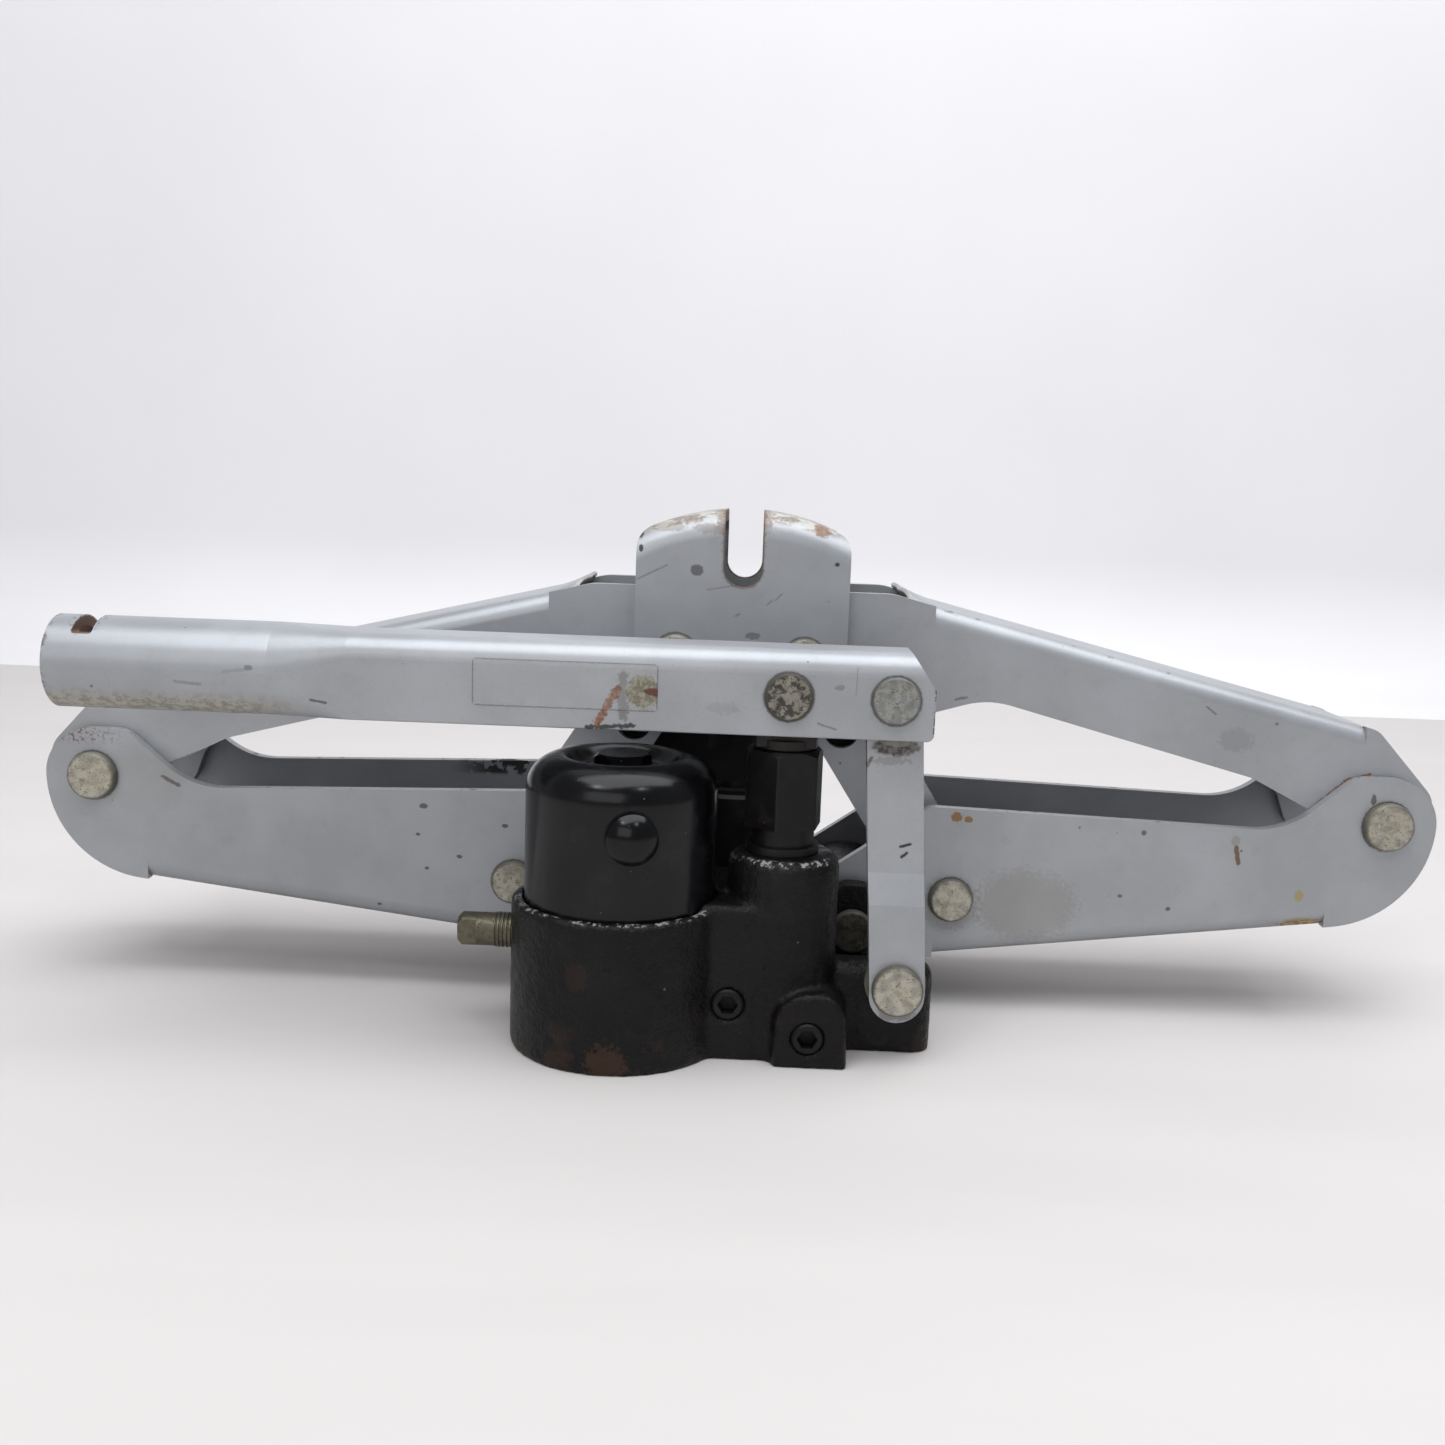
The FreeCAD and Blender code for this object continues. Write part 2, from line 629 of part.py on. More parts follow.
def cast_block(corners, top, rounding):
    """A cast lump with a rounded top rim."""
    return round_top(profile_xy(corners, 0, top), top, rounding)


def cast_lug():
    """Arched lump round the right closing screw, with a rounded front rim."""
    lug = profile_xz(LUG, LUG_FRONT, LUG_REAR)
    rim = edges_where(lug, lambda m: abs(m.y - LUG_FRONT) < 0.01 and m.z > LUG_ROUND)
    return lug.makeFillet(LUG_ROUND, rim)


def base_casting():
    """Foot, arm ears, ram pot, tank seat and pump boss in one casting, with its drilled oil ways."""
    foot = profile_xy([(-FOOT_X, -WALL_OUT, 3), (FOOT_X, -WALL_OUT, 3), (FOOT_X, WALL_OUT, 6),
                       (-FOOT_X, WALL_OUT, 6)], 0, FOOT_TOP)
    pot = rod_z(0, 0, POT_R, 0, POT_TOP)
    pot = pot.common(box(-THROUGH, THROUGH, -SLOT_IN, SLOT_IN, 0, POT_TOP + 1))
    lumps = [
        ear_wall(-SLOT_IN, SLOT_IN), ear_wall(-WALL_OUT, -SLOT_OUT), ear_wall(SLOT_OUT, WALL_OUT), pot,
        round_top(rod_z(TANK_X, FRONT_Y, SEAT_R, 0, SEAT_TOP), SEAT_TOP, SEAT_RIM),
        round_top(rod_z(BOSS_X, FRONT_Y, BOSS_R, 0, BOSS_TOP), BOSS_TOP, BOSS_RIM),
        cast_lug(),
        cast_block(SPINE, SPINE_TOP, 2.0),
        cast_block(LINK_BLOCK, LINK_BLOCK_TOP, 4.0),
        cast_block(HEEL, HEEL_TOP, 3.0),
        cast_block(BACK, BACK_TOP, 3.0),
    ]
    cuts = [
        # Gaps that the lower arms' plates swing in.
        box(-BAR_RUN, BAR_RUN, -SLOT_OUT, -SLOT_IN, FOOT_TOP, CUT_TOP),
        box(-BAR_RUN, BAR_RUN, SLOT_IN, SLOT_OUT, FOOT_TOP, CUT_TOP),
        # Seats of the ram, the tank, its bolt and the pump.
        rod_z(0, 0, CYL_R, CYL_LOW, CUT_TOP),
        rod_z(TANK_X, FRONT_Y, TANK_R + FIT, TANK_FOOT - SEAL_T, CUT_TOP),
        rod_z(TANK_X, FRONT_Y, BOLT_R, BOLT_HOLE_LOW, CUT_TOP),
        rod_z(PUMP_X, FRONT_Y, SPIGOT_BORE, GLAND_FOOT, CUT_TOP),
        rod_z(PUMP_X, FRONT_Y, PLUNGER_R + RUNNING, BARREL_LOW, CUT_TOP),
        rod_z(PUMP_X, FRONT_Y, WAY_R, WAY_LOW, CUT_TOP),
        # Release valve and the pin of the pump link.
        rod_x(FRONT_Y, SCREW_Z, SCREW_R + RUNNING, -70.0, -38.0),
        rod_x(FRONT_Y, SCREW_Z, 2.2, -39.0, TANK_X - 2.0),
        rod_y(LINK_FOOT_X, LINK_FOOT_Z, PIN_R, -70.0, FOOT_PIN_REAR),
        # Oil ways: two behind the closing screws, one from the pump to the ram's port.
        rod_y(PLUG_SPOTS[0][0], PLUG_SPOTS[0][1], DRILL_R, PLUG_REAR - 1, DRILL_REAR),
        rod_y(PLUG_SPOTS[1][0], PLUG_SPOTS[1][1], DRILL_R, PLUG_REAR - 1, FRONT_Y),
        rod_y(0, PORT_Z, PORT_R, DRILL_REAR, -CYL_R + 1),
    ]
    for x, z in PLUG_SPOTS:
        cuts.append(rod_y(x, z, PLUG_R, -90.0, PLUG_REAR))
    for side in (-1, 1):
        cuts.append(rod_y(side * BASE_PIN_X, BASE_PIN_Z, PIN_R, -WALL_OUT, WALL_OUT + HEAD_T))
    return fuse(foot, *lumps).cut(cuts)


def base_pin(front_head):
    """Pivot pin of a lower arm: one end is blind where the casting covers it, else both ends have heads."""
    out = WALL_OUT + HEAD_T
    pin = rod_y(BASE_PIN_X, BASE_PIN_Z, PIN_R, -WALL_OUT, WALL_OUT)
    pin = pin.fuse(rivet_head(BASE_PIN_X, BASE_PIN_Z, HEAD_R, WALL_OUT, out, out))
    if front_head:
        pin = pin.fuse(rivet_head(BASE_PIN_X, BASE_PIN_Z, HEAD_R, -out, -WALL_OUT, -out))
    return pin


# ---- Oil tank ------------------------------------------------------------------------------
def cup_line():
    """Half section of the drawn cup: wall, round shoulder, crest and dished middle."""
    pts = [(0.0, TANK_FOOT), (TANK_R, TANK_FOOT), (TANK_R, TANK_TOP - TANK_SHOULDER)]
    for k in range(1, 10):
        a = math.radians(10 * k)
        pts.append((TANK_R - TANK_SHOULDER + TANK_SHOULDER * math.cos(a),
                    TANK_TOP - TANK_SHOULDER + TANK_SHOULDER * math.sin(a)))
    crest = TANK_R - TANK_SHOULDER - 0.6
    for k in range(5):
        a = math.radians(90 + 22.5 * k)
        pts.append((crest + CREST_R * math.cos(a), TANK_TOP - CREST_R + CREST_R * math.sin(a)))
    pts.append((crest - CREST_R, TANK_TOP - TANK_DISH))
    pts.append((0.0, TANK_TOP - TANK_DISH))
    return pts


def fill_way():
    a = math.radians(FILL_TURN)
    return V(math.sin(a), -math.cos(a), 0)


def oil_tank():
    """Drawn steel cup, open below, with a hole for its bolt and one for the filler plug."""
    inside = spun([(0.0, TANK_FOOT - 1), (TANK_R - TANK_WALL, TANK_FOOT - 1),
                   (TANK_R - TANK_WALL, TANK_TOP - TANK_SHOULDER), (TANK_R - 5.0, TANK_TOP - 4.5),
                   (TANK_R - 10.0, TANK_TOP - 5.8), (0.0, TANK_TOP - 5.8)])
    bolt_hole = rod_z(0, 0, BOLT_R, TANK_TOP - 20.0, TANK_TOP + 10.0)
    fill_hole = Part.makeCylinder(FILL_R, 40.0, V(0, 0, FILL_Z), fill_way())
    cup = spun(cup_line()).cut([inside, bolt_hole, fill_hole])
    cup.translate(V(TANK_X, FRONT_Y, 0))
    return cup


def filler_plug():
    """Stopper: domed head outside, neck through the wall and a barb inside."""
    way = fill_way()
    head = Part.makeCylinder(6.8, 1.8, way * (TANK_R - 0.6), way)
    dome = Part.makeSphere(8.4, way * (TANK_R - 3.8))
    dome = dome.common(Part.makeCylinder(6.5, 10.0, way * (TANK_R + 1.2), way))
    groove = Part.makeCylinder(8.0, 0.5, way * (TANK_R + 0.7), way)
    groove = groove.cut(Part.makeCylinder(6.2, 0.5, way * (TANK_R + 0.7), way))
    neck = Part.makeCylinder(FILL_R, 4.0, way * (TANK_R - 4.0), way)
    barb = Part.makeCone(4.9, 5.6, 2.0, way * (TANK_R - 6.0), way)
    wall = Part.makeCylinder(TANK_R, 40.0, V(0, 0, -20.0))
    wall = wall.cut(Part.makeCylinder(TANK_R - TANK_WALL, 40.0, V(0, 0, -20.0)))
    wall = wall.cut(Part.makeCylinder(FILL_R, 40.0, V(0, 0, 0), way))
    plug = fuse(head.cut(groove), dome, neck, barb).cut(wall)
    plug.translate(V(TANK_X, FRONT_Y, FILL_Z))
    return plug


def tank_seal():
    low = TANK_FOOT - SEAL_T
    return spun_ring([(TANK_R - SEAL_WIDE, low), (TANK_R + FIT, low),
                      (TANK_R + FIT, TANK_FOOT), (TANK_R - SEAL_WIDE, TANK_FOOT)], TANK_X, FRONT_Y)


def tank_washer():
    z = TANK_TOP - TANK_DISH
    return spun_ring([(BOLT_R, z), (WASHER_R, z), (WASHER_R, z + WASHER_T), (BOLT_R, z + WASHER_T)],
                     TANK_X, FRONT_Y)


def tank_bolt():
    z = TANK_TOP - TANK_DISH + WASHER_T
    high = z + BOLT_HEAD
    head = hexagon(TANK_X, FRONT_Y, BOLT_ACROSS, z, high, 12.0)
    dish = bevel_top(rod_z(TANK_X, FRONT_Y, 7.6, z - 1, high), high, 1.2)
    return fuse(head.common(dish), rod_z(TANK_X, FRONT_Y, BOLT_R, BOLT_LOW, z + 1))


# ---- Hand pump -----------------------------------------------------------------------------
def pump_barrel():
    """Long hexagon gland nut of the pump, with a round collar over its screwed spigot."""
    nut = hexagon(PUMP_X, FRONT_Y, HEX_ACROSS, HEX_LOW, HEX_TOP, HEX_TURN)
    nut = nut.common(bevel_top(rod_z(PUMP_X, FRONT_Y, HEX_BEVEL_R, HEX_LOW, HEX_TOP), HEX_TOP, HEX_BEVEL))
    collar = rod_z(PUMP_X, FRONT_Y, COLLAR_R, STEP_TOP, HEX_LOW)
    step = rod_z(PUMP_X, FRONT_Y, STEP_R, BOSS_TOP, STEP_TOP)
    spigot = rod_z(PUMP_X, FRONT_Y, SPIGOT_BORE, GLAND_FOOT + PACKING_T, BOSS_TOP)
    return fuse(nut, collar, step, spigot).cut(rod_z(PUMP_X, FRONT_Y, PLUNGER_R + RUNNING, 0, CUT_TOP + 1))


def pump_packing():
    """Packing ring squeezed under the gland nut's spigot."""
    high = GLAND_FOOT + PACKING_T
    return spun_ring([(PLUNGER_R + RUNNING, GLAND_FOOT), (SPIGOT_BORE, GLAND_FOOT),
                      (SPIGOT_BORE, high), (PLUNGER_R + RUNNING, high)], PUMP_X, FRONT_Y)


def plunger():
    """Pump plunger with a stop collar and a flat eye that the lever's pin moves."""
    rod = rod_z(PUMP_X, FRONT_Y, PLUNGER_R, BARREL_LOW + 2, HEX_TOP + 2)
    collar = rod_z(PUMP_X, FRONT_Y, STOP_R, HEX_TOP + EASY, HEX_TOP + 2.6)
    front = FRONT_Y - EYE_HALF
    rear = FRONT_Y + EYE_HALF
    blade = box(PUMP_X - EYE_R, PUMP_X + EYE_R, front, rear, HEX_TOP + 1, LEVER_Z)
    whole = fuse(rod, collar, blade, rod_y(PUMP_X, LEVER_Z, EYE_R, front, rear))
    r = PUMP_PIN_R + EASY
    slot = [box(PUMP_X - EYE_PLAY, PUMP_X + EYE_PLAY, front - 1, rear + 1, LEVER_Z - r, LEVER_Z + r)]
    for side in (-1, 1):
        slot.append(front_hole(PUMP_X + side * EYE_PLAY, LEVER_Z, r))
    return whole.cut(slot)


def passage_plugs():
    """Socket head screws that close the drilled oil ways."""
    plugs = []
    for (x, z), front in zip(PLUG_SPOTS, PLUG_FRONTS):
        plug = rod_y(x, z, PLUG_R - 0.01, front, PLUG_REAR)
        plug = plug.makeChamfer(0.5, edges_where(plug, lambda m: abs(m.y - front) < 0.01))
        socket = hexagon(0, 0, PLUG_ACROSS, 0, PLUG_DEPTH)
        socket.rotate(V(0, 0, 0), V(1, 0, 0), -90)
        socket.translate(V(x, front - 0.01, z))
        plugs.append(plug.cut(socket))
    return Part.makeCompound(plugs)


def suction_ball():
    return Part.makeSphere(BALL_R, V(PUMP_X, FRONT_Y, BALL_Z))


def spring(x, y, z0, z1, r, wire, turns):
    """Coil spring of round wire, with its ends inside z0 and z1."""
    height = z1 - z0 - 2 * wire
    helix = Part.makeHelix(height / turns, height, r)
    ring = Part.Wire([Part.makeCircle(wire, V(r, 0, 0), V(0, 1, 0))])
    coil = Part.Wire(helix).makePipeShell([ring], True, True)
    coil.translate(V(x, y, z0 + wire))
    return coil


def suction_spring():
    return spring(PUMP_X, FRONT_Y, BALL_Z + 2.7, BARREL_LOW - 0.4, 2.4, 0.35, 4)


def pump_link():
    """Flat link from the casting to the lever, joggled forward near its foot."""
    side = [(LINK_BACK_FOOT, LINK_FOOT_Z - 12), (LINK_BACK_FOOT, LINK_BEND_LOW),
            (LINK_BACK_TOP, LINK_BEND_HIGH), (LINK_BACK_TOP, LEVER_Z + 8)]
    back = [V(0, y, z) for y, z in side]
    front = [V(0, p.y - LINK_T, p.z) for p in reversed(back)]
    slab = prism(back + front, V(LINK_END, 0, 0))
    run = V(LEVER_PIN_X - LINK_FOOT_X, 0, LEVER_Z - LINK_FOOT_Z)
    length = run.Length
    run.normalize()
    out = V(-run.z, 0, run.x)
    foot = V(LINK_FOOT_X, FRONT_Y - THROUGH, LINK_FOOT_Z)
    pts = []
    for along, aside in ((-FOOT_DROP, -LINK_HALF), (length - LINK_SHOULDER, -LINK_HALF),
                         (length, -LINK_EYE_R), (length, LINK_EYE_R),
                         (length - LINK_SHOULDER, LINK_HALF), (-FOOT_DROP, LINK_HALF)):
        pts.append(foot + run * along + out * aside)
    shape = fuse(prism(pts, V(0, 2 * THROUGH, 0)),
                 front_hole(LINK_FOOT_X, LINK_FOOT_Z - FOOT_DROP, LINK_HALF),
                 front_hole(LEVER_PIN_X, LEVER_Z, LINK_EYE_R))
    return slab.common(shape).cut([front_hole(LINK_FOOT_X, LINK_FOOT_Z, PIN_R + RUNNING),
                                   front_hole(LEVER_PIN_X, LEVER_Z, PUMP_PIN_R + RUNNING)])


def link_base_pin():
    front = LINK_BACK_FOOT - LINK_T - 0.2
    out = front - HEAD_T
    pin = rod_y(LINK_FOOT_X, LINK_FOOT_Z, PIN_R, front, FOOT_PIN_REAR)
    head = rivet_head(LINK_FOOT_X, LINK_FOOT_Z, FOOT_HEAD_R, out, front, out)
    washer = rod_y(LINK_FOOT_X, LINK_FOOT_Z, FOOT_WASHER_R, LINK_BACK_FOOT + EASY, BLOCK_FACE)
    return fuse(pin, head, washer)


# ---- Lever -----------------------------------------------------------------------------------
def lever_section(x, wide, tall, top_r, low_r):
    """Cross section of the lever. The pressed channel keeps sharp lower edges."""
    pts = [(-wide, -tall, low_r), (wide, -tall, low_r), (wide, tall, top_r), (-wide, tall, top_r)]
    return rounded_wire(pts, lambda p: V(x, FRONT_Y + p.x, LEVER_MID + p.y))


def lever_body(wall, x0, x1):
    """Round socket tube that runs into a deep flat sided channel."""
    r = LEVER_HALF - wall
    tall = LEVER_UP - wall
    bend = LEVER_BEND - 0.7 * wall
    round_r = r - 0.02
    tube = Part.Face(lever_section(x0, r, r, round_r, round_r)).extrude(V(ROUND_END - x0, 0, 0))
    swage = Part.makeLoft([lever_section(ROUND_END, r, r, round_r, round_r),
                           lever_section(FLAT_START, r, tall, bend, LEVER_LOW_R)], True, True)
    flat = Part.Face(lever_section(FLAT_START, r, tall, bend, LEVER_LOW_R))
    return fuse(tube, swage, flat.extrude(V(x1 - FLAT_START, 0, 0)))


def lever():
    body = lever_body(0.0, LEVER_LEFT, LEVER_RIGHT)
    hollow = lever_body(LEVER_WALL, LEVER_LEFT - 1, LEVER_RIGHT + 1)
    inner = LEVER_HALF - LEVER_WALL
    foot = LEVER_MID - LEVER_UP
    beyond = LEVER_RIGHT + 10
    mouth = box(MOUTH_START, beyond, FRONT_Y - inner, FRONT_Y + inner, foot - 15, LEVER_MID)
    notch = profile_xz([(NOTCH_LEFT, NOTCH_Z, NOTCH_R), (NOTCH_RIGHT, NOTCH_Z, NOTCH_R),
                        (NOTCH_RIGHT, LEVER_OVER, 0), (NOTCH_LEFT, LEVER_OVER, 0)],
                       FRONT_Y - LEVER_HALF, FRONT_Y + LEVER_HALF)
    slope = LEVER_RIGHT - END_SLOPE
    y0 = FRONT_Y - THROUGH
    corner = prism([V(slope, y0, LEVER_OVER), V(slope, y0, SLOPE_HIGH), V(LEVER_RIGHT, y0, SLOPE_LOW),
                    V(beyond, y0, SLOPE_LOW), V(beyond, y0, LEVER_OVER)], V(0, 2 * THROUGH, 0))
    low = box(LEVER_RIGHT - END_ROUND, beyond, y0, FRONT_Y + THROUGH, foot - 5, foot + END_ROUND)
    low = low.cut(front_hole(LEVER_RIGHT - END_ROUND, foot + END_ROUND, END_ROUND))
    return body.cut([hollow, mouth, notch, corner, low, front_hole(PUMP_X, LEVER_Z, PUMP_PIN_R),
                     front_hole(LEVER_PIN_X, LEVER_Z, PUMP_PIN_R)])


def lever_pin(x):
    """Riveted pin across the lever, with a round head in front and a low one behind."""
    front = FRONT_Y - LEVER_HALF
    rear = FRONT_Y + LEVER_HALF
    out = front - LEVER_HEAD_T
    pin = rod_y(x, LEVER_Z, PUMP_PIN_R, front, rear)
    head = rivet_head(x, LEVER_Z, LEVER_HEAD_R, out, front, out, 0.7)
    return fuse(pin, head, rod_y(x, LEVER_Z, LEVER_TAIL_R, rear, rear + LEVER_TAIL_T))


def label():
    """Clear sticker on the lever's flat front."""
    face = FRONT_Y - LEVER_HALF
    return box(*LABEL_X, face - LABEL_T, face, *LABEL_Z)


# ---- Release valve -----------------------------------------------------------------------------
def release_screw():
    """Release valve screw: threaded shank, smooth round head and a flatted end."""
    shank = rod_x(FRONT_Y, SCREW_Z, SCREW_R, HEAD_RIGHT, SCREW_TIP)
    tip = Part.makeCone(4.0, 1.6, 1.9, V(SCREW_TIP - 0.1, FRONT_Y, SCREW_Z), V(1, 0, 0))
    head = rod_x(FRONT_Y, SCREW_Z, SCREW_HEAD_R, HEAD_LEFT, HEAD_RIGHT)
    head = head.makeChamfer(1.0, edges_where(head, lambda m: m.x < HEAD_LEFT + 0.01))
    cuts = []
    for y0 in (FRONT_Y - FLAT_HALF - 5.0, FRONT_Y + FLAT_HALF):
        cuts.append(box(HEAD_LEFT - 1, HEAD_LEFT + FLAT_RUN, y0, y0 + 5.0, SCREW_Z - 8, SCREW_Z + 8))
    for k in range(THREAD_COUNT):
        x = THREAD_FIRST + THREAD_PITCH * k
        cuts.append(Part.makeTorus(SCREW_R + 0.1, THREAD_R, V(x, FRONT_Y, SCREW_Z), V(1, 0, 0)))
    return fuse(shank, tip, head).cut(cuts)


def release_ball():
    return Part.makeSphere(RELEASE_BALL_R, V(RELEASE_BALL_X, FRONT_Y, SCREW_Z))


# ---- All sub-parts -----------------------------------------------------------------------------
def all_parts():
    parts = {
        "base_casting": base_casting(),
        "oil_tank": oil_tank(),
        "tank_seal": tank_seal(),
        "tank_washer": tank_washer(),
        "tank_bolt": tank_bolt(),
        "filler_plug": filler_plug(),
        "pump_barrel": pump_barrel(),
        "pump_packing": pump_packing(),
        "plunger": plunger(),
        "passage_plugs": passage_plugs(),
        "suction_ball": suction_ball(),
        "suction_spring": suction_spring(),
        "ram_cylinder": ram_cylinder(),
        "ram_gland": ram_gland(),
        "rod_wiper": rod_wiper(),
        "ram_rod": ram_rod(),
        "piston_seal": piston_seal(),
        "crosshead": crosshead(),
        "crosshead_ring": crosshead_ring(),
        "crosshead_pins": crosshead_pins(),
        "saddle": saddle(),
        "upper_arm_left": upper_arm_left(),
        "upper_arm_right": upper_arm_right(),
        "pump_link": pump_link(),
        "link_base_pin": link_base_pin(),
        "lever": lever(),
        "lever_pump_pin": lever_pin(PUMP_X),
        "lever_link_pin": lever_pin(LEVER_PIN_X),
        "label": label(),
        "release_screw": release_screw(),
        "release_ball": release_ball(),
        "base_pin_right": base_pin(True),
        "base_pin_left": mirror(base_pin(False)),
    }
    paired = {
        "lower_arm": lower_arm(),
        "lift_pin": headed_pin(LIFT_PIN_X, LIFT_PIN_Z),
        "elbow_pin": headed_pin(ELBOW_X, ELBOW_Z, ELBOW_HEAD_R),
        "saddle_pin": headed_pin(SADDLE_PIN_X, SADDLE_PIN_Z),
        "lift_spacers": lift_spacers(),
        "lift_link_front": lift_link(-1),
        "lift_link_rear": lift_link(1),
    }
    for name, shape in paired.items():
        parts[name + "_right"] = shape
        parts[name + "_left"] = mirror(shape)
    return parts


os.makedirs("parts", exist_ok=True)
for node, shape in all_parts().items():
    shape.exportStep("parts/" + node + ".step")
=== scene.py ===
"""Finishes and fine shapes of a folded hydraulic scissor jack, laid over its CAD frame."""

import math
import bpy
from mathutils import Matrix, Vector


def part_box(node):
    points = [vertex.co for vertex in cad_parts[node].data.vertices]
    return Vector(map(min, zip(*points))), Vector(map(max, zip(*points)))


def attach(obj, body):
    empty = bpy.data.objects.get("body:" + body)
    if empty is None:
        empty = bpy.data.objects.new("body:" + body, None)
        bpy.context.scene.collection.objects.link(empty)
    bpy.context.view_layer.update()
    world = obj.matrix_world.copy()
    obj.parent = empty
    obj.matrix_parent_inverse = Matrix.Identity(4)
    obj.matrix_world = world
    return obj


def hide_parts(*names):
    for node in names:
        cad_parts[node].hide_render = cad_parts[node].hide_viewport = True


bl_info = {
    "name": "Scissor jack finish",
    "version": (1, 0, 0),
    "blender": (4, 5, 0),
    "location": "3D View > Sidebar > Jack",
    "description": "Paint, cast iron, zinc, wear and studio for a hydraulic scissor jack",
    "category": "Object",
}

import bmesh
import bpy
from bpy.props import FloatProperty, FloatVectorProperty, PointerProperty
from mathutils import Matrix, Vector, noise

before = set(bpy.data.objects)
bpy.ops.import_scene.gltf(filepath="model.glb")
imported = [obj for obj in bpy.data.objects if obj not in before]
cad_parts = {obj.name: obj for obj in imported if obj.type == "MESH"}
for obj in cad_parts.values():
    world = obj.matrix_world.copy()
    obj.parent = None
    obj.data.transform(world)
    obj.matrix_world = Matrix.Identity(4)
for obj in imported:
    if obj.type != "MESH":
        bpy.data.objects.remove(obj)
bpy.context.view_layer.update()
MM = 0.001


def span(node):
    """Lowest and highest corner of a CAD node, in millimetres."""
    low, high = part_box(node)
    return low / MM, high / MM


def middle(node):
    low, high = span(node)
    return (low + high) / 2


# Read from the frame, in millimetres.
TANK_LOW, TANK_HIGH = span("oil_tank")
TANK_MID = middle("oil_tank")
LEVER_MID = middle("lever")

# Places on the CAD pieces, in millimetres.
SEAT_TOP = 39.0
SEAT_RIM_R = 26.3
BOSS_TOP = 53.0
SLOT_Z = 123.5
SLOT_R = 5.3
ARM_FRONT = -10.0
LEVER_FRONT = -66.0
LINK_FRONT = -60.0
MARKED_ALL_OVER = 100.0
NO_MARKS = -100.0
LOWER_FACE = 24.5
UPPER_FACE = 21.0
RELEASE_Y, RELEASE_Z, RELEASE_R = -57.0, 28.0, 6.5
FOOT_HEAD_R = 6.6

# The camera: its place in millimetres, its turns in radians, and its lens.
EYE_AT = (3.99, -425.2, 146.0)
EYE_YAW = math.radians(-1.169)
EYE_PITCH = math.radians(9.3)
EYE_ROLL = 0.035744
EYE_LENS = 36.12

# Half width of the studio, and where its floor ends, in metres.
STUDIO_HALF = 3
STUDIO_REAR = 0.6
STUDIO_TURN = 0.10
STUDIO_HIGH = 2.6

# Colours of the dirt and wear.
BROWN = (0.075, 0.036, 0.018)
ORANGE = (0.30, 0.105, 0.025)
SOOT = (0.018, 0.016, 0.015)
OCHRE = (0.33, 0.25, 0.10)
BARE = (0.56, 0.53, 0.47)
WARMER = (0.98, 0.94, 0.78)


# ---- Shader arithmetic ---------------------------------------------------------------------
class Value:
    """One socket of a finish. Arithmetic on values adds Math nodes."""

    def __init__(self, finish, socket):
        self.finish = finish
        self.socket = socket

    def __add__(self, other):
        return self.finish.math("ADD", self, other)

    def __radd__(self, other):
        return self.finish.math("ADD", other, self)

    def __sub__(self, other):
        return self.finish.math("SUBTRACT", self, other)

    def __rsub__(self, other):
        return self.finish.math("SUBTRACT", other, self)

    def __mul__(self, other):
        return self.finish.math("MULTIPLY", self, other)

    def __rmul__(self, other):
        return self.finish.math("MULTIPLY", other, self)

    def __truediv__(self, other):
        return self.finish.math("DIVIDE", self, other)

    def __abs__(self):
        return self.finish.math("ABSOLUTE", self)

    def __gt__(self, other):
        return self.finish.math("GREATER_THAN", self, other)

    def __lt__(self, other):
        return self.finish.math("LESS_THAN", self, other)

    def root(self):
        return self.finish.math("SQRT", self)

    def at_least(self, other):
        return self.finish.math("MAXIMUM", self, other)

    def at_most(self, other):
        return self.finish.math("MINIMUM", self, other)


